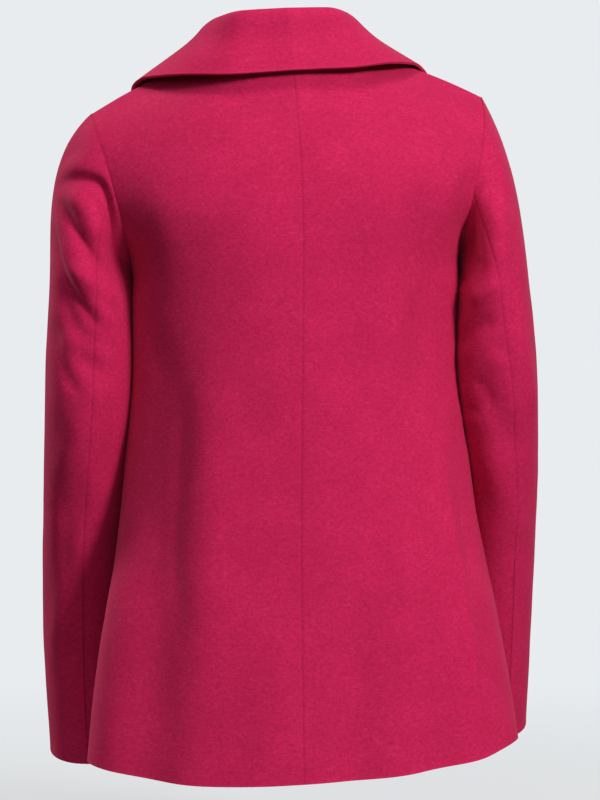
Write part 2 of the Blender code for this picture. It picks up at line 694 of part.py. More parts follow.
def make_sleeve(side, loop):
    word = "left" if side > 0 else "right"
    elbow = ELBOW_SEAM[side]
    for name, first, last, columns in (
        ("upper_sleeve_" + word, FRONT_SEAM - 360, elbow, UPPER_COLUMNS),
        ("under_sleeve_" + word, elbow, FRONT_SEAM, UNDER_COLUMNS),
    ):
        grid = sleeve_grid(side, loop, first, last, columns, SLEEVE_ROWS)
        grid = inset(grid, ("first", "last"), SEAM_GAP * 2)
        sheet_object(name, grid, CLOTH, WOOL)


# ---- collar ---------------------------------------------------------------------------------
def collar_section(seam, fold, edge, lean, count):
    """Across the collar at one place: up the stand, over the fold and down to the free edge."""
    seam, fold, edge = np.array(seam), np.array(fold), np.array(edge)
    way = edge - fold
    way[2] = 0
    way /= max(np.linalg.norm(way), 1e-9)
    turn = 0.0042 * lean
    down = np.array([0, 0, 1.0])
    points = [
        seam,
        seam * 0.5 + fold * 0.5 - way * 0.0015 * lean,
        fold - way * turn - down * turn * 1.2,
        fold,
        fold + way * turn * 1.3 - down * turn * 0.9,
        fold * 0.62 + edge * 0.38 - way * 0.0005 * lean,
        fold * 0.30 + edge * 0.70,
        edge,
    ]
    run = np.array([0, 0.15, 0.29, 0.37, 0.45, 0.62, 0.81, 1.0])
    return spline(run, points, np.linspace(0, 1, count))


def collar_half(tree, upper, stations, count):
    """Sections of half the collar in its own way, +x outwards, from the centre back."""
    at, sections = [], []
    for place, seam, fold, edge, roundness in COLLAR:
        at.append(place)
        sections.append(collar_section(seam, fold, edge, roundness, count))
    for place, x_seam, z_seam, x_edge, z_edge, bow in COLLAR_FRONT:
        at.append(place)
        section = []
        for k in range(count):
            share = k / (count - 1)
            x, z = x_seam + (x_edge - x_seam) * share, z_seam + (z_edge - z_seam) * share
            lift = layer_lift(x, z, upper) + LAYER * 1.15 + 4 * share * (1 - share) * bow
            section.append(laid(tree, x, z, lift))
        sections.append(np.array(section))
    return list(steady(at, np.array(sections), stations))


def make_collar(tree):
    half = COLLAR_COLUMNS // 2
    stations = np.linspace(0, 1, half + 1)
    left = collar_half(tree, False, stations, COLLAR_ROWS)
    right = collar_half(tree, True, stations, COLLAR_ROWS)
    mirrored = [section * (-1, 1, 1) for section in right[:0:-1]]
    grid = np.array(mirrored + left)
    grid = wear(grid)
    sheet_object("collar", grid, COLLAR_CLOTH, WOOL)


# ---- buttons ---------------------------------------------------------------------------------
def make_button(name, tree, x, z):
    """A plain four-hole button on the right front, which laps over the left."""
    lift = layer_lift(-x, z, True) + CLOTH / 2 + 0.0004 + BUTTON_THICK / 2
    spots = [worn(laid(tree, x + dx, z + dz, lift)) for dx, dz in ((0, 0), (0.010, 0), (0, 0.010))]
    across, up = Vector(spots[1] - spots[0]).normalized(), Vector(spots[2] - spots[0]).normalized()
    outward = across.cross(up).normalized()
    bpy.ops.mesh.primitive_cylinder_add(vertices=24, radius=BUTTON_RADIUS, depth=BUTTON_THICK)
    button = bpy.context.object
    button.name = name
    button.data.name = name
    button.rotation_mode = "QUATERNION"
    button.rotation_quaternion = outward.to_track_quat("Z", "Y")
    button.location = Vector(spots[0])
    rim = button.modifiers.new("rim", "BEVEL")
    rim.width = 0.0012
    rim.segments = 2
    rim.limit_method = "ANGLE"
    for k, (dx, dy) in enumerate(((1, 1), (1, -1), (-1, -1), (-1, 1))):
        bpy.ops.mesh.primitive_cylinder_add(vertices=8, radius=HOLE_RADIUS, depth=BUTTON_THICK * 3)
        drill = bpy.context.object
        drill.name = f"{name}_hole_{k}"
        drill.parent = button
        drill.location = (dx * HOLE_SPREAD / 2, dy * HOLE_SPREAD / 2, 0)
        drill.hide_render = True
        drill.display_type = "WIRE"
        for home in list(drill.users_collection):
            home.objects.unlink(drill)
        bpy.data.collections["cutters"].objects.link(drill)
        cut = button.modifiers.new(f"hole_{k}", "BOOLEAN")
        cut.operation = "DIFFERENCE"
        cut.solver = "EXACT"
        cut.object = drill
    button.data.materials.append(material(name + "_resin", BUTTON_COLOUR, 0.35))
    collect(button)


def main():
    for thing in list(bpy.data.objects):
        bpy.data.objects.remove(thing, do_unlink=True)
    for name in ("pea_coat", "cutters"):
        bpy.context.scene.collection.children.link(bpy.data.collections.new(name))
    bpy.data.collections["cutters"].hide_render = True

    back_run, back = back_sheet()
    front_run, front = front_sheet()
    back, front = with_normals(back, 1), with_normals(front, -1)
    tree = front_tree(front)
    for side in (1, -1):
        make_back(side, back, back_run)
        make_front(side, front, front_run, tree)
        make_sleeve(side, armhole(side, back, back_run, front, front_run))
    make_collar(tree)
    for row, z in enumerate(BUTTON_ROWS):
        make_button(f"button_outer_{row + 1}", tree, BUTTON_X, z)
        make_button(f"button_inner_{row + 1}", tree, -BUTTON_X, z)


main()
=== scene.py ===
"""Pea coat of pressed felted wool, in its worn shape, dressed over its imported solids.

Metres, +Z up. The front faces -Y, the back +Y, and the coat's own left is +X.
Each panel is the same form as its solid, at a finer grid, with its creases, seams,
raw-cut edges and felted surface. Run as a script inside Blender 4.5.
"""

import math

import bmesh
import bpy
import numpy as np
from mathutils import Matrix, Vector, noise
from mathutils.bvhtree import BVHTree


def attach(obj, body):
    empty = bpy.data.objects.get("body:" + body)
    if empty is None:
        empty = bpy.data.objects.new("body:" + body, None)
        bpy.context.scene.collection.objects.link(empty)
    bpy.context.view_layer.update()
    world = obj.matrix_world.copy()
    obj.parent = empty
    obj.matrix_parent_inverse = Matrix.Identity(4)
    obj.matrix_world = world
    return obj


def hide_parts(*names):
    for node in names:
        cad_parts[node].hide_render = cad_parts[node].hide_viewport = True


bl_info = {
    "name": "Pea Coat of Felted Wool",
    "version": (1, 0, 0),
    "blender": (4, 5, 0),
    "location": "3D View > Sidebar > Pea Coat",
    "description": "Makes a worn pea coat of pressed felted wool, its buttons and its stage",
    "category": "Object",
}

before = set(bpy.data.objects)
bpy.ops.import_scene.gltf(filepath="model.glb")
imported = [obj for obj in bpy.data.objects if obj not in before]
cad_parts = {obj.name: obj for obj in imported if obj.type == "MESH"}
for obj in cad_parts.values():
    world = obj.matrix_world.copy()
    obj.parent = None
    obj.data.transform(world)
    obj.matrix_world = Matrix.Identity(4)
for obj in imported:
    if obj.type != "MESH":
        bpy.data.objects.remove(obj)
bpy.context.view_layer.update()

# ---- the coat's own measures, the same as its solids ---------------------------
LAYER = 0.0034  # from the middle of one layer to the middle of the next
OVERLAP = 0.075  # each front passes the centre by this
BREAK_Z = -0.272  # where the lapels start to turn back
NECK_ROLL = (0.066, -0.006)  # x and z where the roll of a lapel meets the neck
SHOULDER_GAP = 0.0006
BUTTON_ROWS = (-0.300, -0.392, -0.484)
BUTTON_X = 0.052
BUTTON_THICK = 0.0042
FRONT_HALF = 0.24  # cloth across one front, from side seam to roll
BACK_HALF = 0.19  # cloth across one back
SIDE_SEAM = 0.46  # its length
ARMHOLE_RISE = 0.21  # cloth from the foot of the armhole to the shoulder seam
SLEEVE_LENGTH = 0.54
SLEEVE_RADIUS = 0.048  # turns degrees round a sleeve into metres
SLEEVE_ROUND = 0.050  # the same for the spacing of its columns
COLLAR_HALF = 0.16  # half its neck seam

DIP_WIDTH = 0.0016  # of the sunk cloth beside a seam
DIP_FADE = 0.02  # it ends this far before the roll
SEAM_SHADE_WIDTH, CUT_MASK = 0.0010, 0.0022  # widths of the painted seam shade beside seams, and of the pale strips beside cut edges
RIM_SHARE, RIM_ANGLE = 0.14, 58  # share of the wall, and degrees, for the softened cut edges

# How each grid is divided.
DENSE = 192  # fine steps that a panel's points are read from
CURVE_STEPS = 2000  # fine steps along any smooth line
CURVE_POINTS = 1600  # its points once they are evenly spaced
LEVEL_STEPS = 2400  # fine steps round a quarter of the body
BACK_COLUMNS = 84
PANEL_ROWS = 222
LOWER_ROWS = 0.70  # share of a panel's rows below the armhole
FRONT_COLUMNS = 84
ROLL_STEPS = 6
LAPEL_COLUMNS = 36
UPPER_COLUMNS = 88
UNDER_COLUMNS = 52
SLEEVE_ROWS = 190
COLLAR_COLUMNS = 168
COLLAR_ROWS = 46
SEAM_OFFSETS = (0, 0.0006, 0.0013, 0.0022, 0.0034, 0.0050)  # lines beside a seam or a cut edge

# Level sections of the body below the armholes.
LEVELS = (
    # z_mid, z_side, half, back, front, side_y, square_back, square_front
    (-0.690, -0.667, 0.2045, 0.142, 0.150, 0.044, 2.30, 2.00),
    (-0.620, -0.606, 0.1970, 0.137, 0.150, 0.041, 2.30, 2.02),
    (-0.545, -0.538, 0.1865, 0.132, 0.148, 0.034, 2.30, 2.05),
    (-0.465, -0.463, 0.1735, 0.127, 0.145, 0.016, 2.30, 2.10),
    (-0.375, -0.374, 0.1650, 0.123, 0.142, -0.008, 2.15, 2.20),
    (-0.295, -0.295, 0.1630, 0.121, 0.142, -0.020, 2.05, 2.30),
    (-0.218, -0.207, 0.1575, 0.118, 0.138, -0.004, 2.25, 2.35),
)

# Sections of the back beside the armhole, from the centre seam out to the armhole.
BACK_TOP = (
    ((0, 0.1130, -0.150), (0.070, 0.1110, -0.152), (0.130, 0.0900, -0.156), (0.1665, 0.048, -0.160)),
    ((0, 0.0990, -0.090), (0.070, 0.0960, -0.092), (0.132, 0.0800, -0.100), (0.1780, 0.054, -0.112)),
    ((0, 0.0800, -0.042), (0.066, 0.0700, -0.040), (0.132, 0.0520, -0.058), (0.1865, 0.033, -0.073)),
)
BACK_NECK = ((0, 0.0560, 0.000), (0.040, 0.0490, 0.000), (0.066, 0.0240, 0.0015), (0.076, -0.001, 0.003))

# Sections of the front beside the armhole, from the armhole in to the centre.
FRONT_TOP = (
    ((0.1500, -0.050, -0.166), (0.120, -0.096, -0.160), (0.070, -0.124, -0.156), (0, -0.132, -0.154)),
    ((0.1520, -0.060, -0.122), (0.120, -0.084, -0.108), (0.070, -0.103, -0.100), (0, -0.112, -0.098)),
    ((0.1700, -0.040, -0.080), (0.128, -0.052, -0.060), (0.074, -0.070, -0.045), (0, -0.086, -0.044)),
)
FRONT_NECK = ((0.076, -0.001, 0.003), (0.073, -0.020, 0.000), (0.066, -0.037, -0.006))
THROAT = ((0.066, -0.037, -0.006), (0.035, -0.052, -0.010), (0, -0.060, -0.012))
SHOULDER = (
    (0.076, -0.001, 0.003),
    (0.132, 0.000, -0.0198),
    (0.164, 0.000, -0.0345),
    (0.190, 0.000, -0.0485),
)
BACK_CORNER = 27 / 64  # share of the top row where the neck ends
FRONT_CORNER, ROLL_CORNER = 34 / 64, 43 / 64

# How the worn coat leans and turns with height.
POSE = (
    # z, shift_x, turn_degrees
    (-0.72, -0.008, 0.0),
    (-0.45, -0.001, 2.0),
    (-0.20, 0.001, 4.0),
    (-0.05, 0.008, 6.0),
    (0.05, 0.019, 8.0),
)
TILT = 0.053  # the right side is carried a little higher

# The turned lapel: where its free edge lies for each height along the roll.
LAPEL = (
    # z_roll, x_edge, z_edge
    (-0.272, -0.069, -0.2725),
    (-0.250, -0.036, -0.257),
    (-0.220, 0.006, -0.240),
    (-0.180, 0.050, -0.213),
    (-0.130, 0.088, -0.178),
    (-0.075, 0.113, -0.138),
    (-0.035, 0.128, -0.113),
    (-0.006, 0.137, -0.092),
)
NOTCH = (0.098, -0.062)  # where the collar leaves the lapel's top edge

# How the two fronts lie over each other.
LAP_START, LAP_FADE = 0.118, 0.030
LAP_UNDER, LAP_OVER = -0.0021, 0.0017
DOUBLE_FROM, DOUBLE_TO = -0.335, -0.060  # heights between which the left lapel lies between them
DOUBLE_FADES = (0.040, 0.060)
HEM_STRIP = 8  # fine rows that are repeated below the hem
FRONT_LEAN = 0.25  # pieces laid on a front stand out forwards by this share
EDGE_SHARES, EDGE_HALVINGS = (0.3, 1.6), 40  # the search for a front's edge

# How a lapel turns at its roll.
TURN_START, TURN_OVER = 0.002, 0.022  # heights above the break
ROLL_RADIUS, ROLL_OUT = 0.72, 0.6  # shares of a layer and of the radius
EDGE_STRIP, EDGE_GAP, EDGE_STEP = 0.004, 0.0012, 0.0002  # the turned strip below the break
LAPEL_SPACING = 1.25
ROLL_LOOSE, ROLL_CLOSES = 0.5, 5  # shares by which the lapel stands off beside its roll
NOTCH_RISE = 0.03
ROLL_WEAR, ROLL_WEAR_WIDTH, ROLL_WEAR_RISE = 0.8, 0.006, 0.03  # paler fibres along the roll

# Rings down each sleeve below its armhole.
LEFT_RINGS = (
    # z, x, y, half_x, half_y, tip
    (-0.236, 0.1975, 0.006, 0.0405, 0.060, 0.00),
    (-0.290, 0.1985, 0.006, 0.0423, 0.059, 0.03),
    (-0.348, 0.2008, -0.003, 0.0424, 0.058, 0.10),
    (-0.406, 0.2045, -0.026, 0.0413, 0.056, 0.18),
    (-0.464, 0.2078, -0.051, 0.0408, 0.054, 0.24),
    (-0.522, 0.2098, -0.072, 0.0405, 0.053, 0.28),
    (-0.578, 0.2104, -0.090, 0.0400, 0.052, 0.29),
    (-0.632, 0.2096, -0.104, 0.0392, 0.051, 0.27),
    (-0.683, 0.2078, -0.116, 0.0388, 0.050, 0.24),
)
RIGHT_RINGS = (
    (-0.226, -0.1915, 0.004, 0.0340, 0.060, 0.00),
    (-0.276, -0.1925, 0.002, 0.0385, 0.060, 0.03),
    (-0.330, -0.1945, -0.008, 0.0395, 0.059, 0.12),
    (-0.386, -0.1985, -0.031, 0.0380, 0.057, 0.22),
    (-0.442, -0.1995, -0.056, 0.0372, 0.055, 0.28),
    (-0.498, -0.1988, -0.077, 0.0368, 0.054, 0.31),
    (-0.553, -0.1975, -0.094, 0.0366, 0.053, 0.31),
    (-0.606, -0.1962, -0.108, 0.0364, 0.051, 0.29),
    (-0.657, -0.1948, -0.120, 0.0362, 0.050, 0.27),
)
RINGS = {1: LEFT_RINGS, -1: RIGHT_RINGS}
ARMHOLE_GAP = {1: 0.0019, -1: 0.0027}  # at the underarm
SLEEVE_HEAD = {1: 0.84, -1: 0.34}  # how far out each sleeve leaves the shoulder
# Degrees round from the outer side towards the back, at the armhole and then at each ring.
ELBOW_SEAM = {
    1: (92, 99, 98, 96, 94, 92, 92, 92, 92, 92),
    -1: (106, 87, 80, 71, 70, 70, 69, 68, 68, 68),
}
FRONT_SEAM = 232.0
ARMHOLE_POINTS = 361
RING_SQUARE = 2.15  # 2 would be an ellipse
RING_HALVES = (0.040, 0.055)
HEAD_WAY = (0.16, 0.22, -0.85)  # how a sleeve leaves its armhole: out, to the side, down
HEAD_TUCK, HEAD_PULL = 0.0008, (1.05, 0.95)
UNDERARM = 3.2  # the armhole's gap narrows this fast away from the underarm
BEHIND_FADE = 0.35
CUFF_FADE, HEAD_FADE, HEAD_START = 0.014, 0.02, 0.3
SLEEVE_HEAD_SHARE = 0.30  # share of a sleeve's rows between the armhole and its first ring
SLEEVE_CLEARANCE = 0.0016  # between a sleeve's ring and the body beside it
PRESS_TOP = 0.03  # height above the first ring over which the pressing fades out
PRESS_MARGIN, PRESS_FADE = 0.085, 0.10  # shares of a ring's size
TIP_DEPTH = 1.6  # a tipped ring reaches deeper on the level by this much of its tip squared

# Stations of half the collar: neck seam, top of the fold, free edge and roundness.
COLLAR = (
    # station, seam, fold, edge, roundness
    (0.00, (0.0000, 0.0560, 0.0015), (0.0000, 0.0620, 0.0375), (0.0000, 0.0845, -0.0230), 1.0),
    (0.20, (0.0400, 0.0490, 0.0015), (0.0400, 0.0545, 0.0375), (0.0540, 0.0805, -0.0240), 1.0),
    (0.38, (0.0660, 0.0240, 0.0030), (0.0610, 0.0300, 0.0352), (0.1050, 0.0530, -0.0195), 1.0),
    (0.50, (0.0758, -0.001, 0.0046), (0.0745, 0.0000, 0.0265), (0.1360, 0.0130, -0.0170), 1.0),
    (0.60, (0.0733, -0.020, 0.0034), (0.0762, -0.024, 0.0170), (0.1480, -0.006, -0.0235), 0.8),
    (0.66, (0.0672, -0.036, -0.001), (0.0712, -0.042, 0.0050), (0.1500, -0.017, -0.0335), 0.5),
)
COLLAR_TUCK = 0.0016  # how far its seam sinks under the neck edge of the body
COLLAR_FOLD = 0.0042
STAND_HOLLOW, FALL_HOLLOW = 0.0015, 0.0005
SECTION_RUN = (0, 0.15, 0.29, 0.37, 0.45, 0.62, 0.81, 1.0)
FOLD_WEAR, FOLD_PLACE, FOLD_WIDTH = 0.6, 0.37, 0.06  # paler fibres along its fold
COLLAR_LIFT = 1.15  # layers
RIGHT_CLOSER = 0.075  # the right half's edge lies this share closer in
COLLAR_FRONT = (
    # station, x_seam, z_seam, x_edge, z_edge, bow
    (0.72, 0.0738, -0.0138, 0.1502, -0.0450, 0.0090),
    (0.86, 0.0860, -0.0352, 0.1485, -0.0590, 0.0030),
    (1.00, 0.0995, -0.0584, 0.1455, -0.0710, 0.0005),
)

# Soft folds of the solids: path, half width and height out of the cloth.
BACK_FOLDS = (
    # x_first, z_first, x_last, z_last, half_width, height
    (0.082, -0.240, 0.088, -0.640, 0.030, 0.0055),
    (0.121, -0.200, 0.136, -0.700, 0.030, -0.0080),
    (0.165, -0.400, 0.180, -0.720, 0.022, 0.0040),
    (-0.119, -0.100, -0.124, -0.350, 0.018, -0.0050),
    (-0.126, -0.330, -0.172, -0.720, 0.020, 0.0055),
    (-0.140, -0.560, -0.132, -0.720, 0.022, -0.0060),
    (-0.075, -0.060, -0.100, -0.400, 0.026, 0.0035),
    (-0.050, -0.140, -0.046, -0.360, 0.022, -0.0028),
    (-0.057, -0.500, -0.057, -0.740, 0.024, -0.0060),
    (0.020, -0.520, 0.018, -0.740, 0.030, 0.0030),
)
FRONT_FOLDS = (
    (0.118, -0.300, 0.125, -0.720, 0.028, -0.0070),
    (0.150, -0.440, 0.165, -0.720, 0.020, 0.0045),
    (0.092, -0.180, 0.084, -0.640, 0.030, 0.0045),
    (-0.122, -0.290, -0.128, -0.720, 0.028, -0.0070),
    (-0.152, -0.440, -0.165, -0.720, 0.020, 0.0045),
    (-0.094, -0.200, -0.088, -0.600, 0.030, 0.0040),
    (0.030, -0.520, 0.026, -0.720, 0.032, -0.0035),
)
LEFT_SLEEVE_FOLDS = (
    # degrees_first, z_first, degrees_last, z_last, half_width, height
    (60, -0.120, 150, -0.250, 0.014, -0.0055),
    (45, -0.170, 130, -0.285, 0.012, 0.0045),
    (40, -0.210, 115, -0.330, 0.013, -0.0050),
    (115, -0.300, 60, -0.420, 0.016, 0.0040),
    (130, -0.360, 70, -0.470, 0.014, -0.0040),
    (100, -0.450, 45, -0.600, 0.016, 0.0030),
    (250, -0.330, 320, -0.410, 0.016, -0.0055),
    (235, -0.380, 300, -0.450, 0.014, 0.0040),
)
RIGHT_SLEEVE_FOLDS = (
    (120, -0.110, 135, -0.230, 0.014, -0.0050),
    (75, -0.130, 100, -0.260, 0.014, 0.0040),
    (70, -0.250, 30, -0.360, 0.014, 0.0040),
    (125, -0.290, 60, -0.400, 0.015, -0.0045),
    (120, -0.370, 50, -0.480, 0.015, 0.0035),
    (250, -0.320, 320, -0.400, 0.016, -0.0055),
    (235, -0.370, 300, -0.440, 0.014, 0.0040),
)
SLEEVE_FOLDS = {1: LEFT_SLEEVE_FOLDS, -1: RIGHT_SLEEVE_FOLDS}

# ---- the finer creases that only the dressed coat has ---------------------------
# Each: half width on the side of growing x, half width on the other side for a line
# that runs down, height out of the cloth, then the line itself.
BACK_CREASES = (
    (0.010, 0.026, -0.0024, (0.102, -0.300), (0.112, -0.420), (0.112, -0.580)),
    (0.026, 0.030, -0.0058, (0.150, -0.330), (0.156, -0.460), (0.160, -0.620), (0.162, -0.860)),
    (0.009, 0.014, -0.0016, (0.150, -0.180), (0.143, -0.255), (0.128, -0.330)),
    (0.012, 0.016, 0.0012, (0.135, -0.120), (0.120, -0.185), (0.112, -0.250)),
    (0.014, 0.020, -0.0030, (-0.108, -0.110), (-0.112, -0.200), (-0.112, -0.300),
     (-0.106, -0.400)),
    (0.008, 0.012, -0.0014, (-0.135, -0.150), (-0.141, -0.240), (-0.140, -0.330)),
    (0.008, 0.014, -0.0018, (-0.150, -0.340), (-0.155, -0.430), (-0.168, -0.520)),
    (0.012, 0.020, 0.0014, (-0.095, -0.440), (-0.107, -0.540), (-0.112, -0.640)),
    (0.012, 0.016, -0.0010, (0.050, -0.030), (0.077, -0.050), (0.100, -0.075)),
    (0.012, 0.016, -0.0010, (-0.045, -0.028), (-0.073, -0.043), (-0.098, -0.062)),
    (0.008, 0.010, -0.0030, (-0.172, -0.105), (-0.165, -0.128), (-0.158, -0.150),
     (-0.152, -0.190)),
    (0.004, 0.005, 0.0016, (-0.123, -0.366), (-0.141, -0.441), (-0.157, -0.529), (-0.171, -0.675)),
)
FRONT_CREASES = (
    (0.010, 0.016, -0.0018, (0.130, -0.160), (0.108, -0.232), (0.080, -0.300)),
    (0.010, 0.016, -0.0018, (-0.130, -0.160), (-0.113, -0.227), (-0.090, -0.290)),
    (0.010, 0.018, -0.0012, (-0.060, -0.300), (-0.048, -0.362), (-0.030, -0.420)),
    (0.012, 0.018, 0.0012, (-0.110, -0.420), (-0.092, -0.472), (-0.070, -0.520)),
)
# The sleeves as seen from behind.
LEFT_SLEEVE_CREASES = (
    (0.012, 0.014, -0.0030, (0.228, -0.066), (0.220, -0.088), (0.211, -0.108)),
    (0.010, 0.006, -0.0085, (0.236, -0.134), (0.218, -0.125), (0.202, -0.124), (0.187, -0.130),
     (0.176, -0.146), (0.171, -0.170), (0.167, -0.197), (0.161, -0.226)),
    (0.008, 0.007, 0.0044, (0.218, -0.133), (0.207, -0.144), (0.197, -0.157), (0.191, -0.172),
     (0.185, -0.190)),
    (0.006, 0.006, -0.0044, (0.231, -0.136), (0.219, -0.155), (0.211, -0.171), (0.199, -0.190),
     (0.186, -0.207), (0.174, -0.221)),
    (0.008, 0.008, 0.0038, (0.218, -0.201), (0.205, -0.214), (0.191, -0.226), (0.177, -0.235),
     (0.164, -0.244)),
    (0.006, 0.006, -0.0044, (0.233, -0.160), (0.227, -0.192), (0.216, -0.221), (0.204, -0.242),
     (0.189, -0.260), (0.173, -0.276)),
    (0.003, 0.003, 0.0013, (0.230, -0.158), (0.223, -0.184), (0.212, -0.212)),
    (0.009, 0.009, 0.0028, (0.221, -0.265), (0.204, -0.282), (0.187, -0.292), (0.168, -0.296)),
    (0.006, 0.007, -0.0026, (0.233, -0.250), (0.225, -0.292), (0.214, -0.318), (0.196, -0.334)),
    (0.010, 0.012, 0.0020, (0.220, -0.335), (0.207, -0.362), (0.200, -0.400), (0.199, -0.440)),
    (0.008, 0.010, -0.0018, (0.226, -0.400), (0.223, -0.460), (0.220, -0.540)),
)
RIGHT_SLEEVE_CREASES = (
    (0.011, 0.010, 0.0036, (-0.186, -0.130), (-0.194, -0.160), (-0.194, -0.188), (-0.188, -0.215)),
    (0.005, 0.005, -0.0028, (-0.178, -0.196), (-0.170, -0.206), (-0.162, -0.216), (-0.155, -0.226)),
    (0.009, 0.009, 0.0032, (-0.198, -0.228), (-0.186, -0.230), (-0.173, -0.236), (-0.164, -0.240)),
    (0.008, 0.008, -0.0036, (-0.194, -0.258), (-0.179, -0.262), (-0.167, -0.272), (-0.159, -0.288)),
    (0.009, 0.010, 0.0022, (-0.200, -0.290), (-0.188, -0.302), (-0.174, -0.318)),
    (0.008, 0.009, -0.0024, (-0.192, -0.328), (-0.177, -0.336), (-0.165, -0.352)),
    (0.010, 0.012, 0.0014, (-0.190, -0.380), (-0.196, -0.430), (-0.198, -0.500)),
)
BEHIND_CREASES = {1: LEFT_SLEEVE_CREASES, -1: RIGHT_SLEEVE_CREASES}
# The rest of each sleeve, in degrees round from its outer side.
SIDE_CREASES = (
    (0.006, 0.011, 0.0018, (330, -0.150), (318, -0.200), (300, -0.250)),
    (0.006, 0.010, -0.0018, (300, -0.180), (280, -0.230), (255, -0.270)),
    (0.006, 0.012, -0.0022, (335, -0.330), (300, -0.352), (262, -0.372)),
    (0.007, 0.012, 0.0016, (330, -0.372), (295, -0.392), (258, -0.410)),
    (0.007, 0.013, -0.0014, (345, -0.430), (315, -0.470), (290, -0.520)),
)

# How the creases and small swells run.
CREASE_STEPS = 80
CREASE_ENDS = 0.28  # share of a crease's length over which each end dies out
CREASE_SWELL = 0.2
BODY_FOLD_ENDS = (0.40, 0.35)  # the same for the first and last end of a body fold
SLEEVE_FOLD_ENDS = (0.30, 0.30)
HEM_RUN = -0.70  # a fold that ends below this runs out over the hem
SIDE_START, SIDE_FADE = 0.010, 0.060  # where the folds of back and front fade at the sides
WIDE_SWELLS, SMALL_SWELLS = (19, 19, 13), (48, 48, 34)  # to the metre
SMALL_START, SMALL_SHARE = (7, 0, 0), 0.40

# Buttons, threads and buttonholes.
BUTTON_GAP = 0.0004  # between the cloth and a button's back
BUTTON_STEPS = 56
BUTTON_DISH = 0.42
BUTTON_PROFILE = (
    # share of the radius, share of half the thickness
    (0.00, BUTTON_DISH),
    (0.52, BUTTON_DISH),
    (0.66, 0.60),
    (0.76, 0.96),
    (0.86, 1.00),
    (0.95, 0.78),
    (1.00, 0.20),
    (0.98, -0.45),
    (0.90, -0.92),
    (0.80, -1.00),
    (0.00, -1.00),
)
BUTTON_TURN, BUTTON_TURN_START = 6, 5  # degrees by which each button is turned past the last
BUTTON_REACH = 0.010  # the cloth is read this far away to find which way a button faces
HOLE_RADIUS, HOLE_SPREAD = 0.00115, 0.0040
THREAD_RADIUS = 0.00042
THREAD_ASIDE = 0.0005  # two strands beside each other through each pair of holes
SLIT_LENGTH, SLIT_HALF, SLIT_LIFT = 0.0300, 0.0013, 0.0013
SLIT_START = 0.0035  # how far the slit reaches past the button's middle
SLIT_POINTS, SLIT_BENDS = 24, 6
STITCHES, STITCH_RADIUS, STITCH_SIDES = 130, 0.00026, 5
STITCH_AHEAD = 0.004  # share of the way round that gives a stitch its direction
STITCH = ((-0.0009, -0.0004), (-0.0005, 0.0003), (0.0006, 0.0003), (0.0012, -0.0004))  # aside, out

# The stage. The camera looks at the back.
CAMERA, LENS, SENSOR = (-0.004, 3.0, -0.334), 139.0, 36.0
FLOOR_RADIUS, FLOOR_COLOUR, FLOOR_GLOW = 2.4, (0.25, 0.253, 0.256, 1), 0.56
FLOOR_FADE = (0.5, 2.3)  # the paper fades into the backdrop between these radii
LAMP_COLOUR = (1.0, 0.985, 0.965)
SKY_COLOUR, SKY_STRENGTH = (0.97, 0.985, 1.0, 1), 0.09
LIGHTS = (
    # name, place, height it points at, size, power it follows, share of that power
    ("key_light", (-2.35, 2.85, 1.2), -0.30, 1.0, "key_power", 1.0),
    ("back_fill", (0.3, 3.9, 0.9), -0.35, 1.6, "fill_power", 4.4),
    ("upper_light", (0.5, 1.0, 3.0), -0.25, 1.2, "key_power", 0.40),
    ("front_light", (2.6, -1.9, 1.2), -0.30, 1.0, "key_power", 0.5),
    ("front_fill", (-1.7, -2.8, 0.6), -0.30, 1.6, "key_power", 0.2),
    ("top_fill", (0.5, -0.6, 2.8), -0.35, 1.6, "fill_power", 1.0),
)


# ---- sizes and colours that a user would change -----------------------------------
COLOUR = {"subtype": "COLOR", "size": 4, "min": 0.0, "max": 1.0}


class CoatSizes(bpy.types.PropertyGroup):
    """Walls, seams and creases of the coat."""

    cloth_wall: bpy.props.FloatProperty(
        name="Cloth wall",
        description="Thickness of the pressed wool",
        default=0.0022,
        min=0.001,
        max=0.003,
        precision=4,
        unit="LENGTH",
    )
    collar_wall: bpy.props.FloatProperty(
        name="Collar wall",
        description="Thickness of the collar",
        default=0.0026,
        min=0.001,
        max=0.003,
        precision=4,
        unit="LENGTH",
    )
    seam_gap: bpy.props.FloatProperty(
        name="Seam gap",
        description="How far each piece stops before a flat seam",
        default=0.00004,
        precision=5,
        unit="LENGTH",
    )
    seam_dip: bpy.props.FloatProperty(
        name="Seam dip",
        description="How deep the cloth sinks in at a pressed seam",
        default=0.0004,
        precision=4,
        unit="LENGTH",
    )
    crease_strength: bpy.props.FloatProperty(
        name="Crease strength",
        description="How strongly the fine creases stand out",
        default=1.0,
        min=0.0,
        max=2.0,
        subtype="FACTOR",
    )
    unevenness: bpy.props.FloatProperty(
        name="Unevenness",
        description="Height of the small swells in the cloth between its folds",
        default=0.0007,
        precision=4,
        unit="LENGTH",
    )
    button_radius: bpy.props.FloatProperty(
        name="Button radius",
        description="Radius of each four-hole button",
        default=0.0135,
        precision=4,
        unit="LENGTH",
    )


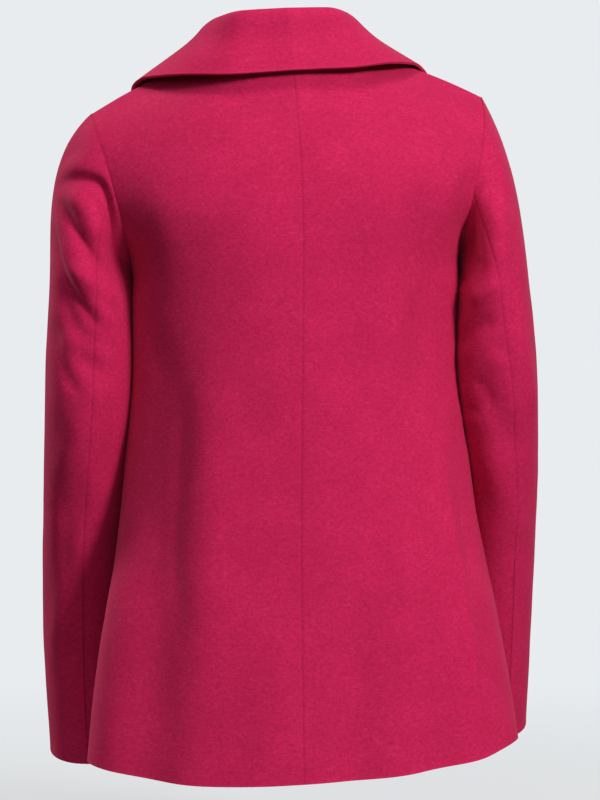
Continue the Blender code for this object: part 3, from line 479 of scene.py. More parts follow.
class CoatColours(bpy.types.PropertyGroup):
    """Colours of the wool, the buttons and the thread."""

    wool: bpy.props.FloatVectorProperty(
        name="Wool",
        description="Main colour of the felted wool",
        default=(0.500, 0.0112, 0.0765, 1.0),
        **COLOUR,
    )
    wool_deep: bpy.props.FloatVectorProperty(
        name="Deep wool",
        description="Colour of the darker fibres in the mottle",
        default=(0.335, 0.0066, 0.0475, 1.0),
        **COLOUR,
    )
    wool_light: bpy.props.FloatVectorProperty(
        name="Light wool",
        description="Colour of the paler fibres on the nap",
        default=(0.620, 0.0260, 0.1180, 1.0),
        **COLOUR,
    )
    button: bpy.props.FloatVectorProperty(
        name="Button",
        description="Colour of the moulded resin",
        default=(0.180, 0.0070, 0.0300, 1.0),
        **COLOUR,
    )
    thread: bpy.props.FloatVectorProperty(
        name="Thread",
        description="Colour of the sewing thread",
        default=(0.330, 0.0110, 0.0500, 1.0),
        **COLOUR,
    )


class StageSettings(bpy.types.PropertyGroup):
    """The plain pale floor and its soft lights."""

    backdrop: bpy.props.FloatVectorProperty(
        name="Backdrop",
        description="Colour that is seen behind the coat",
        default=(0.807, 0.838, 0.863, 1.0),
        **COLOUR,
    )
    floor_height: bpy.props.FloatProperty(
        name="Floor height",
        description="Height of the floor under the hanging coat",
        default=-0.800,
        unit="LENGTH",
    )
    key_power: bpy.props.FloatProperty(
        name="Key power",
        description="Power of the large soft key light",
        default=135.0,
        unit="POWER",
    )
    fill_power: bpy.props.FloatProperty(
        name="Fill power",
        description="Power of each soft fill light",
        default=5.0,
        unit="POWER",
    )


# ---- curves and surfaces ------------------------------------------------------------
def spline(at, points, wanted):
    """A smooth curve through the points, read at the wanted places."""
    at, points = np.asarray(at, float), np.asarray(points, float)
    count = len(at)
    flat = points.reshape(count, -1)
    step = np.diff(at)
    rise = np.diff(flat, axis=0) / step[:, None]
    bend = np.zeros_like(flat)
    if count > 2:
        system = np.diag(2 * (step[:-1] + step[1:]))
        system += np.diag(step[1:-1], 1) + np.diag(step[1:-1], -1)
        bend[1:-1] = np.linalg.solve(system, 6 * (rise[1:] - rise[:-1]))
    wanted = np.atleast_1d(np.asarray(wanted, float))
    i = np.clip(np.searchsorted(at, wanted) - 1, 0, count - 2)
    h = step[i][:, None]
    low = (wanted - at[i])[:, None]
    high = h - low
    found = (bend[i] * high**3 + bend[i + 1] * low**3) / (6 * h)
    found += (flat[i + 1] / h - bend[i + 1] * h / 6) * low
    found += (flat[i] / h - bend[i] * h / 6) * high
    return found.reshape((len(wanted),) + points.shape[1:])


def steady(at, points, wanted):
    """A curve through the points that never swings past them."""
    at, points = np.asarray(at, float), np.asarray(points, float)
    shape = points.shape[1:]
    flat = points.reshape(len(at), -1)
    step = np.diff(at)[:, None]
    rise = np.diff(flat, axis=0) / step
    slope = np.zeros_like(flat)
    slope[0], slope[-1] = rise[0], rise[-1]
    same = rise[1:] * rise[:-1] > 0
    total = np.where(same, rise[1:] + rise[:-1], 1.0)
    slope[1:-1] = np.where(same, 2 * rise[1:] * rise[:-1] / total, 0.0)
    wanted = np.atleast_1d(wanted)
    i = np.clip(np.searchsorted(at, wanted) - 1, 0, len(at) - 2)
    t = np.clip((wanted - at[i])[:, None] / step[i], 0, 1)
    near = flat[i] * (1 + 2 * t) * (1 - t) ** 2 + flat[i + 1] * t * t * (3 - 2 * t)
    near = near + step[i] * (slope[i] * t * (1 - t) ** 2 - slope[i + 1] * t * t * (1 - t))
    return near.reshape((len(wanted),) + shape)


def along(points):
    """How far along its own length each point of a line lies, from 0 to 1."""
    steps = np.linalg.norm(np.diff(points, axis=0), axis=1)
    run = np.concatenate([[0], np.cumsum(steps)])
    return run / run[-1]


def evenly(points, count):
    """The line again, as this many points at even spacing."""
    run = along(points)
    wanted = np.linspace(0, 1, count)
    return np.stack([np.interp(wanted, run, points[:, k]) for k in range(3)], axis=1)


def smooth_line(points):
    """A smooth line through a few points, as many points at even spacing."""
    points = np.asarray(points, float)
    return evenly(spline(along(points), points, np.linspace(0, 1, CURVE_STEPS)), CURVE_POINTS)


def soft_step(value):
    """From 0 to 1 with a soft start and a soft end."""
    value = np.clip(value, 0, 1)
    return value * value * (3 - 2 * value)


def level_curve(row, behind):
    """A quarter of the body at one level, from the middle of the back or front to the side."""
    z_mid, z_side, half, back, front, side_y, square_back, square_front = row
    depth = back - side_y if behind else -front - side_y
    power = 2 / (square_back if behind else square_front)
    turn = np.linspace(0, math.pi / 2, LEVEL_STEPS)
    x = half * np.sin(turn) ** power
    y = side_y + depth * np.cos(turn) ** power
    z = z_mid + (z_side - z_mid) * (x / half) ** 3
    return evenly(np.stack([x, y, z], axis=1), DENSE + 1)


def joined(parts, shares):
    """Several smooth lines end to end, with their corners at the given shares of the row."""
    rows, start = [], 0
    for part, share in zip(parts, shares):
        count = round(share * DENSE) - start
        if start == 0:
            rows.append(smooth_line(part)[0:1])
        rows.append(evenly(smooth_line(part), count + 1)[1:])
        start += count
    return np.concatenate(rows)


def surface(rows):
    """A smooth sheet through the rows, as a grid of points from the hem up."""
    rows = np.stack(rows)
    steps = np.linalg.norm(np.diff(rows, axis=0), axis=2).mean(axis=1)
    run = np.concatenate([[0], np.cumsum(steps)])
    run /= run[-1]
    return run, spline(run, rows, np.linspace(0, 1, 2 * DENSE + 1))


def same_seam(run, sheet, column, inner):
    """The sheet with its side edge brought onto the one line that back and front share."""
    table = np.array([(row[1], row[2], row[5]) for row in LEVELS])
    ups = np.linspace(0, 1, len(sheet))
    weight = soft_step(1 - np.abs(np.arange(sheet.shape[1]) - column % sheet.shape[1]) / inner)
    below = ups <= run[len(LEVELS) - 1]
    edge = sheet[below, column].copy()
    line = spline(table[:, 0], table[:, 1:], edge[:, 2])
    wanted = np.concatenate([line, edge[:, 2:3]], axis=1)
    sheet[below] += weight[None, :, None] * (wanted - edge)[:, None, :]
    return run, sheet


def back_sheet():
    """Half the back as it lies flat on its form, from the hem up and from the centre out."""
    rows = [level_curve(row, True) for row in LEVELS]
    rows += [evenly(smooth_line(row), DENSE + 1) for row in BACK_TOP]
    rows.append(joined((BACK_NECK, SHOULDER), (BACK_CORNER, 1)))
    return same_seam(*surface(rows), -1, DENSE // 2)


def front_sheet():
    """Half the front in the same way, from the side in to the centre."""
    rows = [level_curve(row, False)[::-1] for row in LEVELS]
    rows += [evenly(smooth_line(row), DENSE + 1) for row in FRONT_TOP]
    parts = (SHOULDER[::-1], FRONT_NECK, THROAT)
    rows.append(joined(parts, (FRONT_CORNER, ROLL_CORNER, 1)))
    return same_seam(*surface(rows), 0, DENSE // 2)


def normals_of(grid):
    """A unit vector square to the sheet at each point of a grid."""
    normal = np.cross(np.gradient(grid, axis=1), np.gradient(grid, axis=0))
    return normal / np.maximum(np.linalg.norm(normal, axis=2, keepdims=True), 1e-12)


def with_normals(sheet, way):
    """The sheet's points and, beside each, the way straight out of the coat there."""
    normal = normals_of(sheet)
    if normal[:, :, 1].sum() * way < 0:
        normal = -normal
    return np.concatenate([sheet, normal], axis=2)


def read(sheet, across, up, lift=0.0):
    """Points of a sheet at two shares, moved out by a lift. Past the centre they are mirrored."""
    across, up, lift = np.broadcast_arrays(*(np.asarray(v, float) for v in (across, up, lift)))
    mirrored = across > 1
    inside = np.where(mirrored, 2 - across, across)
    rows, columns = sheet.shape[0] - 1, sheet.shape[1] - 1
    i = np.clip((up * rows).astype(int), 0, rows - 1)
    j = np.clip((inside * columns).astype(int), 0, columns - 1)
    a, b = (up * rows - i)[..., None], (inside * columns - j)[..., None]
    value = (sheet[i, j] * (1 - b) + sheet[i, j + 1] * b) * (1 - a)
    value = value + (sheet[i + 1, j] * (1 - b) + sheet[i + 1, j + 1] * b) * a
    point = value[..., :3] + value[..., 3:] * lift[..., None]
    return point * np.where(mirrored[..., None], (-1.0, 1.0, 1.0), (1.0, 1.0, 1.0))


# ---- the worn pose --------------------------------------------------------------------
def posed(points):
    """Where points of the symmetrical coat come to lie as it is worn."""
    table = np.array(POSE)
    shift, turn = steady(table[:, 0], table[:, 1:], points[:, 2]).T
    turn = np.radians(turn)
    x = np.cos(turn) * points[:, 0] - np.sin(turn) * points[:, 1]
    y = np.sin(turn) * points[:, 0] + np.cos(turn) * points[:, 1]
    return np.stack([x + shift, y, points[:, 2] - TILT * x], axis=1)


def pressed(points):
    """The body cloth kept clear of the sleeves, which press it in."""
    points = points.copy()
    for side, table in RINGS.items():
        rows = np.array(table)[::-1]
        top = rows[-1, 0]
        near = (points[:, 0] > 0) == (side > 0)
        near &= points[:, 2] <= top + PRESS_TOP
        place = points[near]
        rings = spline(rows[:, 0], rows[:, 1:], np.clip(place[:, 2], rows[0, 0], top))
        mid_x, mid_y, half_x, half_y, tip = rings.T
        wide = half_x + SLEEVE_CLEARANCE
        deep = half_y * np.sqrt(1 + TIP_DEPTH * tip * tip) + SLEEVE_CLEARANCE
        off = np.stack([(place[:, 0] - mid_x) / wide, (place[:, 1] - mid_y) / deep], axis=1)
        size = np.linalg.norm(off, axis=1)
        keep = 1 + PRESS_MARGIN * np.exp(-np.maximum(size - 1, 0) / PRESS_FADE)
        share = soft_step((top + PRESS_TOP - place[:, 2]) / PRESS_TOP)
        moved = np.where(size < keep, size + (keep - size) * share, size)
        off = off / np.maximum(size, 1e-6)[:, None] * moved[:, None]
        place[:, 0] = mid_x + off[:, 0] * wide
        place[:, 1] = mid_y + off[:, 1] * deep
        points[near] = place
    return points


def fold_height(x, z, folds, ends_over):
    """How far the soft folds lift or sink the cloth at each place."""
    total = np.zeros_like(x)
    for x0, z0, x1, z1, half, height in folds:
        length = math.hypot(x1 - x0, z1 - z0)
        run = ((x - x0) * (x1 - x0) + (z - z0) * (z1 - z0)) / length**2
        aside = ((x - x0) * (z1 - z0) - (z - z0) * (x1 - x0)) / length
        ends = soft_step(run / ends_over[0])
        if z1 > HEM_RUN:
            ends = ends * soft_step((1 - run) / ends_over[1])
        total += height * ends * np.exp(-((aside / half) ** 2))
    return total


def crease_height(u, z, creases, scale=1.0):
    """Creases along given lines: each swells along its length and dies out at its ends."""
    total = np.zeros_like(u)
    for count, (near, far, height, *line) in enumerate(creases):
        line = np.array(line) * (scale, 1)
        path = spline(along(line), line, np.linspace(0, 1, CREASE_STEPS))
        way = np.gradient(path, axis=0)
        step = np.linalg.norm(way, axis=1)
        way /= step[:, None]
        off_u, off_z = u[..., None] - path[:, 0], z[..., None] - path[:, 1]
        nearest = np.argmin(off_u**2 + off_z**2, axis=-1)
        off_u = np.take_along_axis(off_u, nearest[..., None], -1)[..., 0]
        off_z = np.take_along_axis(off_z, nearest[..., None], -1)[..., 0]
        ahead = off_u * way[nearest, 0] + off_z * way[nearest, 1]
        aside = off_u * way[nearest, 1] - off_z * way[nearest, 0]
        run = (nearest + np.clip(ahead / step[nearest], -1, 1)) / (CREASE_STEPS - 1)
        ends = soft_step(run / CREASE_ENDS) * soft_step((1 - run) / CREASE_ENDS)
        swell = 1 + CREASE_SWELL * np.sin(run * 7 + count * 1.7)
        half = np.where(aside > 0, far, near)
        total += height * ends * swell * np.exp(-((aside / half) ** 2))
    return total


def swells(points, height):
    """Small soft unevenness of the hanging cloth: wide swells with smaller ones on them."""
    wide, small = points * WIDE_SWELLS, points * SMALL_SWELLS + SMALL_START
    lifts = [noise.noise(Vector(a)) + SMALL_SHARE * noise.noise(Vector(b)) for a, b in zip(wide, small)]
    return np.array(lifts) * height


def worn(points, sizes=None):
    """Where points of the flat-laid coat lie as worn, with folds and clear of the sleeves."""
    shape = np.shape(points)
    place = posed(np.asarray(points, float).reshape(-1, 3))
    x, y, z = place.T
    behind = soft_step((y - SIDE_START) / SIDE_FADE)
    before = soft_step((-SIDE_START - y) / SIDE_FADE)
    lift = behind * fold_height(x, z, BACK_FOLDS, BODY_FOLD_ENDS)
    lift = lift + before * fold_height(x, z, FRONT_FOLDS, BODY_FOLD_ENDS)
    if sizes is not None:
        fine = behind * crease_height(x, z, BACK_CREASES)
        fine += before * crease_height(x, z, FRONT_CREASES)
        lift = lift + fine * sizes.crease_strength
        lift = lift + swells(place, sizes.unevenness)
    out = np.stack([0.75 * x, y, np.zeros_like(x)], axis=1)
    out /= np.maximum(np.linalg.norm(out, axis=1, keepdims=True), 1e-6)
    return pressed(place + out * lift[:, None]).reshape(shape)


# ---- grids of cloth -------------------------------------------------------------------
def seam_steps(count, width, first=True, last=True):
    """Shares across a piece, drawn close together beside its seams and cut edges."""
    fine = np.array(SEAM_OFFSETS) / width
    start = fine if first else fine[:1]
    end = 1 - fine[::-1] if last else np.array([1.0])
    middle = np.linspace(start[-1], end[0], count + 3 - len(start) - len(end))
    return np.concatenate([start, middle[1:-1], end])


def snapped(shares, corner):
    """The shares with the nearest one moved exactly onto a corner."""
    shares = shares.copy()
    shares[np.argmin(np.abs(shares - corner))] = corner
    return shares


def row_shares(sheet, run, column):
    """Where a panel's rows lie: at the same heights on the side seam of back and front, then even."""
    below = run[len(LEVELS) - 1]
    lower = round(PANEL_ROWS * LOWER_ROWS)
    ups = np.linspace(0, 1, len(sheet))
    seam = ups <= below
    steps = seam_steps(lower, SIDE_SEAM, True, False)
    heights = LEVELS[0][1] + (LEVELS[-1][1] - LEVELS[0][1]) * steps
    shares = np.interp(heights, sheet[seam, column, 2], ups[seam])
    shares[0], shares[-1] = 0, below
    upper = seam_steps(PANEL_ROWS - lower, ARMHOLE_RISE, False, True)
    return np.concatenate([shares, below + (1 - below) * upper[1:]])


def inset(grid, sides, size):
    """The grid with some of its edges drawn in, for the gap at a seam."""
    grid = grid.copy()
    for side in sides:
        edge, inner = {
            "first": (np.s_[:, 0], np.s_[:, 1]),
            "last": (np.s_[:, -1], np.s_[:, -2]),
            "bottom": (np.s_[0, :], np.s_[1, :]),
            "top": (np.s_[-1, :], np.s_[-2, :]),
        }[side]
        way = grid[inner] - grid[edge]
        grid[edge] = grid[edge] + way / np.linalg.norm(way, axis=-1, keepdims=True) * size
    return grid


def reach(grid, side):
    """How far each point of a grid lies from one of its edges, along the cloth."""
    axis = 1 if side in ("first", "last") else 0
    steps = np.linalg.norm(np.diff(grid, axis=axis), axis=2)
    pad = [(0, 0), (0, 0)]
    pad[axis] = (1, 0)
    run = np.pad(np.cumsum(steps, axis=axis), pad)
    if side in ("last", "top"):
        run = run.max(axis=axis, keepdims=True) - run
    return run


def beside(grid, sides, width):
    """A mask that is 1 at the given edges and fades over a width."""
    mask = np.zeros(grid.shape[:2])
    for side in sides:
        mask = np.maximum(mask, np.exp(-((reach(grid, side) / width) ** 2)))
    return mask


def dipped(grid, sides, depth, centre):
    """The grid with its cloth sunk a little towards the centre beside its seams."""
    normal = normals_of(grid)
    out = grid - np.asarray(centre, float)
    out[:, :, 2] = 0
    normal = normal * np.sign((normal * out).sum(axis=2, keepdims=True))
    return grid - normal * (beside(grid, sides, DIP_WIDTH) * depth)[:, :, None]


def fill_grid(shape, grid):
    """Makes the grid of points as faces of a bmesh. Returns its corners in the grid's order."""
    rows, columns = grid.shape[:2]
    bmesh.ops.create_grid(shape, x_segments=columns - 1, y_segments=rows - 1, size=0.5)
    corners = sorted(shape.verts, key=lambda vert: (round(vert.co.y, 6), round(vert.co.x, 6)))
    for vert, place in zip(corners, grid.reshape(-1, 3)):
        vert.co = place
    return corners


def cloth_piece(name, grid, wall, wool, seams, cuts, folded=None):
    """A grid of points as a cloth wall of even thickness, with a UV map in metres."""
    shape = bmesh.new()
    masks = {
        # painted shade: this mask darkens the cloth beside each seam, as if in the shade of its groove
        "painted_seam_shade": beside(grid, seams, SEAM_SHADE_WIDTH),
        "cut_edge": beside(grid, cuts, CUT_MASK),
        "folded_edge": np.zeros(grid.shape[:2]) if folded is None else folded,
    }
    layers = [(shape.verts.layers.float.new(word), mask.ravel()) for word, mask in masks.items()]
    uv = shape.loops.layers.uv.new("cloth")
    corners = fill_grid(shape, grid)
    shape.verts.index_update()
    across, down = reach(grid, "first").ravel(), reach(grid, "bottom").ravel()
    places = [0] * len(corners)
    for place, vert in enumerate(corners):
        places[vert.index] = place
        for layer, mask in layers:
            vert[layer] = float(mask[place])
    for face in shape.faces:
        for loop in face.loops:
            place = places[loop.vert.index]
            loop[uv].uv = (across[place], down[place])
    piece = object_of(name, smoothed(shape), wool)
    solid = piece.modifiers.new("wall", "SOLIDIFY")
    solid.thickness = wall
    solid.offset = 0.0
    solid.use_even_offset = False
    rim = piece.modifiers.new("cut_edges", "BEVEL")
    rim.affect = "EDGES"
    rim.width = wall * RIM_SHARE
    rim.segments = 2
    rim.profile = 0.5
    rim.limit_method = "ANGLE"
    rim.angle_limit = math.radians(RIM_ANGLE)
    rim.material = -1
    rim.harden_normals = True
    return piece


def smoothed(shape):
    """The bmesh with its faces outwards and shaded smooth."""
    bmesh.ops.recalc_face_normals(shape, faces=shape.faces)
    for face in shape.faces:
        face.smooth = True
    return shape


def object_of(name, shape, material):
    """A finished bmesh as a named object at the origin."""
    mesh = bpy.data.meshes.new(name)
    shape.to_mesh(mesh)
    shape.free()
    mesh.materials.append(material)
    piece = bpy.data.objects.new(name, mesh)
    bpy.context.scene.collection.objects.link(piece)
    return piece


# ---- back and fronts --------------------------------------------------------------------
def roll_x(z):
    """Where the front edge, or the roll of the lapel above it, lies at a height."""
    share = np.maximum((z - BREAK_Z) / (NECK_ROLL[1] - BREAK_Z), 0)
    return -OVERLAP + (NECK_ROLL[0] + OVERLAP) * share


def layer_lift(x, z, upper):
    """How far a front lies out of the common surface where the two overlap. x is its own way."""
    near = soft_step((LAP_START - x) / LAP_FADE)
    if not upper:
        return LAP_UNDER * near
    double = soft_step((z - DOUBLE_FROM) / DOUBLE_FADES[0]) * soft_step((DOUBLE_TO - z) / DOUBLE_FADES[1])
    return near * (LAP_OVER + LAYER * double)


def front_tree(sheet):
    """The front's own points as a surface that other pieces are laid on."""
    points = sheet[:, :, :3]
    below = points[:1] + (points[:1] - points[HEM_STRIP : HEM_STRIP + 1])
    shape = bmesh.new()
    fill_grid(shape, np.concatenate([below, points]))
    shape.normal_update()
    tree = BVHTree.FromBMesh(shape)
    shape.free()
    return tree


def laid(tree, x, z, lift):
    """The place on the front at x and z, moved out by a lift."""
    hit, normal, _, _ = tree.ray_cast(Vector((abs(x), -1, z)), Vector((0, 1, 0)))
    if hit is None:
        hit, normal, _, _ = tree.find_nearest(Vector((abs(x), -0.06, z)))
    normal = normal if normal.y < 0 else -normal
    normal = (normal + Vector((0, -FRONT_LEAN, 0))).normalized()
    point = np.array(hit) + np.array(normal) * lift
    return point * (math.copysign(1, x), 1, 1)


def back_grid(side, sheet, run, sizes):
    """One back panel, from the centre seam out to the side."""
    shares = snapped(seam_steps(BACK_COLUMNS, BACK_HALF), BACK_CORNER)
    ups = row_shares(sheet, run, -1)
    grid = read(sheet, shares[None, :], ups[:, None]) * (side, 1, 1)
    grid = worn(grid, sizes)
    grid = inset(inset(grid, ("first", "last"), sizes.seam_gap), ("top",), SHOULDER_GAP)
    return dipped(grid, ("first", "last", "top"), sizes.seam_dip, (0, 0, 0))


def lapel_row(tree, upper, x_roll, z_roll):
    """One row of the turned cloth: round the roll and out to the lapel's free edge."""
    turned = float(soft_step((z_roll - BREAK_Z - TURN_START) / TURN_OVER))
    x_edge, z_edge = x_roll + EDGE_STRIP, z_roll
    if z_roll > BREAK_Z:
        table = np.array(LAPEL)
        x_edge, z_edge = spline(table[:, 0], table[:, 1:], z_roll)[0]
    under = float(layer_lift(x_roll, z_roll, upper))
    radius = LAYER * ROLL_RADIUS
    row = []
    for i in range(1, ROLL_STEPS):
        turn = math.pi * turned * i / ROLL_STEPS
        x = x_roll - ROLL_OUT * radius * math.sin(turn) - EDGE_STEP * i * (1 - turned)
        row.append(laid(tree, x, z_roll, under + radius * (1 - math.cos(turn))))
    rise = float(soft_step((z_roll - NECK_ROLL[1] + NOTCH_RISE) / NOTCH_RISE))
    for k in range(1, LAPEL_COLUMNS + 1):
        share = (k / LAPEL_COLUMNS) ** LAPEL_SPACING
        x, z = x_roll + (x_edge - x_roll) * share, z_roll + (z_edge - z_roll) * share
        if rise:
            middle = (NOTCH[0] - NECK_ROLL[0]) / (x_edge - x_roll)
            bow = (share / middle) if share < middle else (1 - share) / (1 - middle)
            line = z_roll + (z_edge - z_roll) * middle
            z += rise * bow * (NOTCH[1] - line)
        lift = float(layer_lift(x, z, upper)) + LAYER * (1 + ROLL_LOOSE * math.exp(-share * ROLL_CLOSES))
        far = laid(tree, x, z, lift)
        flat = laid(tree, x_roll - min(x - x_roll, EDGE_STRIP) - EDGE_GAP, z, under)
        row.append(far * turned + flat * (1 - turned))
    return row


def front_edge(sheet, ups):
    """The share across the front at which each row reaches its edge or roll."""
    low, high = (np.full(len(ups), share) for share in EDGE_SHARES)
    for _ in range(EDGE_HALVINGS):
        edge = (low + high) / 2
        place = read(sheet, edge, ups)
        inside = place[:, 0] > roll_x(place[:, 2])
        low, high = np.where(inside, edge, low), np.where(inside, high, edge)
    return edge


def front_grid(side, sheet, run, tree, sizes):
    """One front: panel, roll and turned lapel."""
    upper = side < 0
    ups = row_shares(sheet, run, 0)
    shares = seam_steps(FRONT_COLUMNS, FRONT_HALF, True, False)
    across = front_edge(sheet, ups)[:, None] * snapped(shares, FRONT_CORNER / ROLL_CORNER)[None, :]
    flat = read(sheet, across, ups[:, None])
    panel = read(sheet, across, ups[:, None], layer_lift(flat[..., 0], flat[..., 2], upper))
    turned = [lapel_row(tree, upper, row[-1][0], row[-1][2]) for row in panel]
    grid = np.concatenate([panel, np.array(turned)], axis=1)
    grid = worn(grid * (side, 1, 1), sizes)
    grid = inset(grid, ("first",), sizes.seam_gap)
    body = FRONT_COLUMNS + 1
    grid[:, :body] = inset(grid, ("top",), SHOULDER_GAP)[:, :body]
    dip = dipped(grid[:, :body], ("first", "top"), sizes.seam_dip, (0, 0, 0))
    far = reach(grid, "first")
    fade = soft_step((far[:, body - 1 : body] - far[:, :body]) / DIP_FADE)
    grid[:, :body] += (dip - grid[:, :body]) * fade[:, :, None]
    return grid


# ---- sleeves --------------------------------------------------------------------------
def armhole(side, back, back_run, front, front_run, sizes):
    """The armhole as a closed line: from the shoulder tip down the back and up the front."""
    rows = np.linspace(0, 1, back.shape[0])
    behind = back[rows >= back_run[len(LEVELS) - 1]][::-1, -1, :3]
    before = front[rows >= front_run[len(LEVELS) - 1]][:, 0, :3]
    loop = np.concatenate([evenly(line, ARMHOLE_POINTS)[:-1] for line in (behind, before)])
    return worn(loop * (side, 1, 1), sizes)


def ring_point(side, row, degrees):
    """A point of one ring, at some degrees round from its outer side towards the back."""
    z, x, y, half_x, half_y, tip = row
    turn = math.radians(degrees)
    power = 2 / RING_SQUARE
    out = math.copysign(abs(math.cos(turn)) ** power, math.cos(turn)) * half_x * side
    back = math.copysign(abs(math.sin(turn)) ** power, math.sin(turn)) * half_y
    return np.array([x + out, y + back, z - tip * back])


def sleeve_column(side, loop, table, degrees, shares):
    """One line down the sleeve, at some degrees round from its outer side in each ring."""
    place = (degrees[0] % 360) / 360 * len(loop)
    i = int(place) % len(loop)
    start = loop[i] * (1 - place % 1) + loop[(i + 1) % len(loop)] * (place % 1)
    rings = np.array([ring_point(side, row, turn) for row, turn in zip(table, degrees[1:])])
    first = rings[0]
    turn = math.radians(degrees[0])
    outward = 0.5 + 0.5 * math.cos(turn)
    out, aside, down = HEAD_WAY
    leave = np.array([side * (out + SLEEVE_HEAD[side] * outward), aside * math.sin(turn), down])
    leave /= np.linalg.norm(leave)
    start = start - leave * HEAD_TUCK
    start[0] += side * ARMHOLE_GAP[side] * float(soft_step(1 - outward * UNDERARM))
    chord = np.linalg.norm(first - start)
    ahead = rings[1] - first
    ahead = ahead / np.linalg.norm(ahead)
    cap = SLEEVE_HEAD_SHARE
    t = (np.clip(shares, 0, cap) / cap)[:, None]
    h00, h10 = 2 * t**3 - 3 * t**2 + 1, t**3 - 2 * t**2 + t
    h01, h11 = -2 * t**3 + 3 * t**2, t**3 - t**2
    pull, ease = HEAD_PULL
    head = start * h00 + leave * chord * pull * h10 + first * h01 + ahead * chord * ease * h11
    below = spline(np.linspace(0, 1, len(table)), rings, np.clip((shares - cap) / (1 - cap), 0, 1))
    return np.where(shares[:, None] < cap, head, below)


def sleeve_lift(side, grid, degrees, sizes):
    """How far folds, creases and swells lift the cloth of a sleeve out of its rings."""
    x, z = grid[:, :, 0], grid[:, :, 2]
    round_sleeve = np.radians(degrees % 360) * SLEEVE_RADIUS
    folds = [
        (math.radians(first) * SLEEVE_RADIUS, z_first, math.radians(last) * SLEEVE_RADIUS, *rest)
        for first, z_first, last, *rest in SLEEVE_FOLDS[side]
    ]
    lift = fold_height(round_sleeve, z, folds, SLEEVE_FOLD_ENDS)
    fine = crease_height(x, z, BEHIND_CREASES[side])
    fine *= soft_step(np.sin(np.radians(degrees)) / BEHIND_FADE)
    fine += crease_height(round_sleeve, z, SIDE_CREASES, math.radians(SLEEVE_RADIUS))
    lift += fine * sizes.crease_strength
    lift += swells(grid.reshape(-1, 3), sizes.unevenness).reshape(lift.shape)
    at_head = soft_step(reach(grid, "top") / HEAD_FADE + HEAD_START)
    return lift * (soft_step(reach(grid, "bottom") / CUFF_FADE) * at_head)


def sleeve_grid(side, loop, first, last, columns, sizes):
    """One piece of a sleeve, between two seams given in degrees at the armhole and each ring."""
    table = RINGS[side]
    shares = seam_steps(SLEEVE_ROWS, SLEEVE_LENGTH)
    first, last = (np.broadcast_to(seam, len(table) + 1) for seam in (first, last))
    elbow = len(table) // 2 + 1
    steps = seam_steps(columns, math.radians(last[elbow] - first[elbow]) * SLEEVE_ROUND)
    around = first + np.outer(steps, last - first)
    lines = [sleeve_column(side, loop, table, degrees, shares) for degrees in around]
    grid = np.stack(lines, axis=1)
    rings = np.linspace(0, 1, len(table))
    at = np.concatenate([[0], SLEEVE_HEAD_SHARE + (1 - SLEEVE_HEAD_SHARE) * rings])
    degrees = np.stack([np.interp(shares, at, line) for line in around], axis=1)
    turn = np.radians(degrees)
    wide, deep = RING_HALVES
    out = np.stack([side * np.cos(turn) / wide, np.sin(turn) / deep, 0 * turn], axis=2)
    out /= np.linalg.norm(out, axis=2, keepdims=True)
    grid += out * sleeve_lift(side, grid, degrees, sizes)[:, :, None]
    return inset(grid, ("first", "last"), sizes.seam_gap)


# ---- collar -----------------------------------------------------------------------------
def collar_section(seam, fold, edge, roundness, count):
    """Across the collar at one place: up the stand, over the fold and down to the free edge."""
    seam, fold, edge = np.array(seam) - (0, 0, COLLAR_TUCK), np.array(fold), np.array(edge)
    way = edge - fold
    way[2] = 0
    way /= max(np.linalg.norm(way), 1e-9)
    turn = COLLAR_FOLD * roundness
    up = np.array([0, 0, 1.0])
    points = [
        seam,
        seam * 0.5 + fold * 0.5 - way * STAND_HOLLOW * roundness,
        fold - way * turn - up * turn * 1.2,
        fold,
        fold + way * turn * 1.3 - up * turn * 0.9,
        fold * 0.62 + edge * 0.38 - way * FALL_HOLLOW * roundness,
        fold * 0.30 + edge * 0.70,
        edge,
    ]
    return spline(SECTION_RUN, points, np.linspace(0, 1, count))


def collar_half(tree, upper, stations, count):
    """Sections of half the collar in its own way, +x outwards, from the centre back."""
    at, sections = [], []
    for place, seam, fold, edge, roundness in COLLAR:
        at.append(place)
        if upper:
            closer = RIGHT_CLOSER * float(soft_step(place / 0.38) * soft_step((0.76 - place) / 0.22))
            edge = (edge[0] * (1 - closer), edge[1], edge[2] + closer * 0.04)
        sections.append(collar_section(seam, fold, edge, roundness, count))
    for place, x_seam, z_seam, x_edge, z_edge, bow in COLLAR_FRONT:
        at.append(place)
        section = []
        for k in range(count):
            share = k / (count - 1)
            x, z = x_seam + (x_edge - x_seam) * share, z_seam + (z_edge - z_seam) * share
            lift = float(layer_lift(x, z, upper)) + LAYER * COLLAR_LIFT + 4 * share * (1 - share) * bow
            section.append(laid(tree, x, z, lift))
        sections.append(np.array(section))
    return steady(at, np.array(sections), stations)


def collar_grid(tree):
    """The whole collar, from the right end round the neck to the left end."""
    stations = seam_steps(COLLAR_COLUMNS // 2, COLLAR_HALF, False, True)
    right, left = (collar_half(tree, upper, stations, COLLAR_ROWS) for upper in (True, False))
    return worn(np.concatenate([right[:0:-1] * (-1, 1, 1), left]))


# ---- materials ----------------------------------------------------------------------------
MIX_FACTOR, MIX_FIRST, MIX_SECOND, MIX_RESULT = 0, 6, 7, 2  # a colour mix's sockets


def node(tree, kind, label, **values):
    """A new node with its label and settings."""
    made = tree.nodes.new(kind)
    made.label = label
    for name, value in values.items():
        setattr(made, name, value)
    return made


def feed(tree, value, entry):
    """Links another node's output to an entry, or sets a plain number or colour there."""
    if hasattr(value, "is_output"):
        tree.links.new(value, entry)
    else:
        entry.default_value = value


def settle(shader, values):
    """Sets the entries of a shader that are the same all over."""
    for name, value in values.items():
        shader.inputs[name].default_value = value


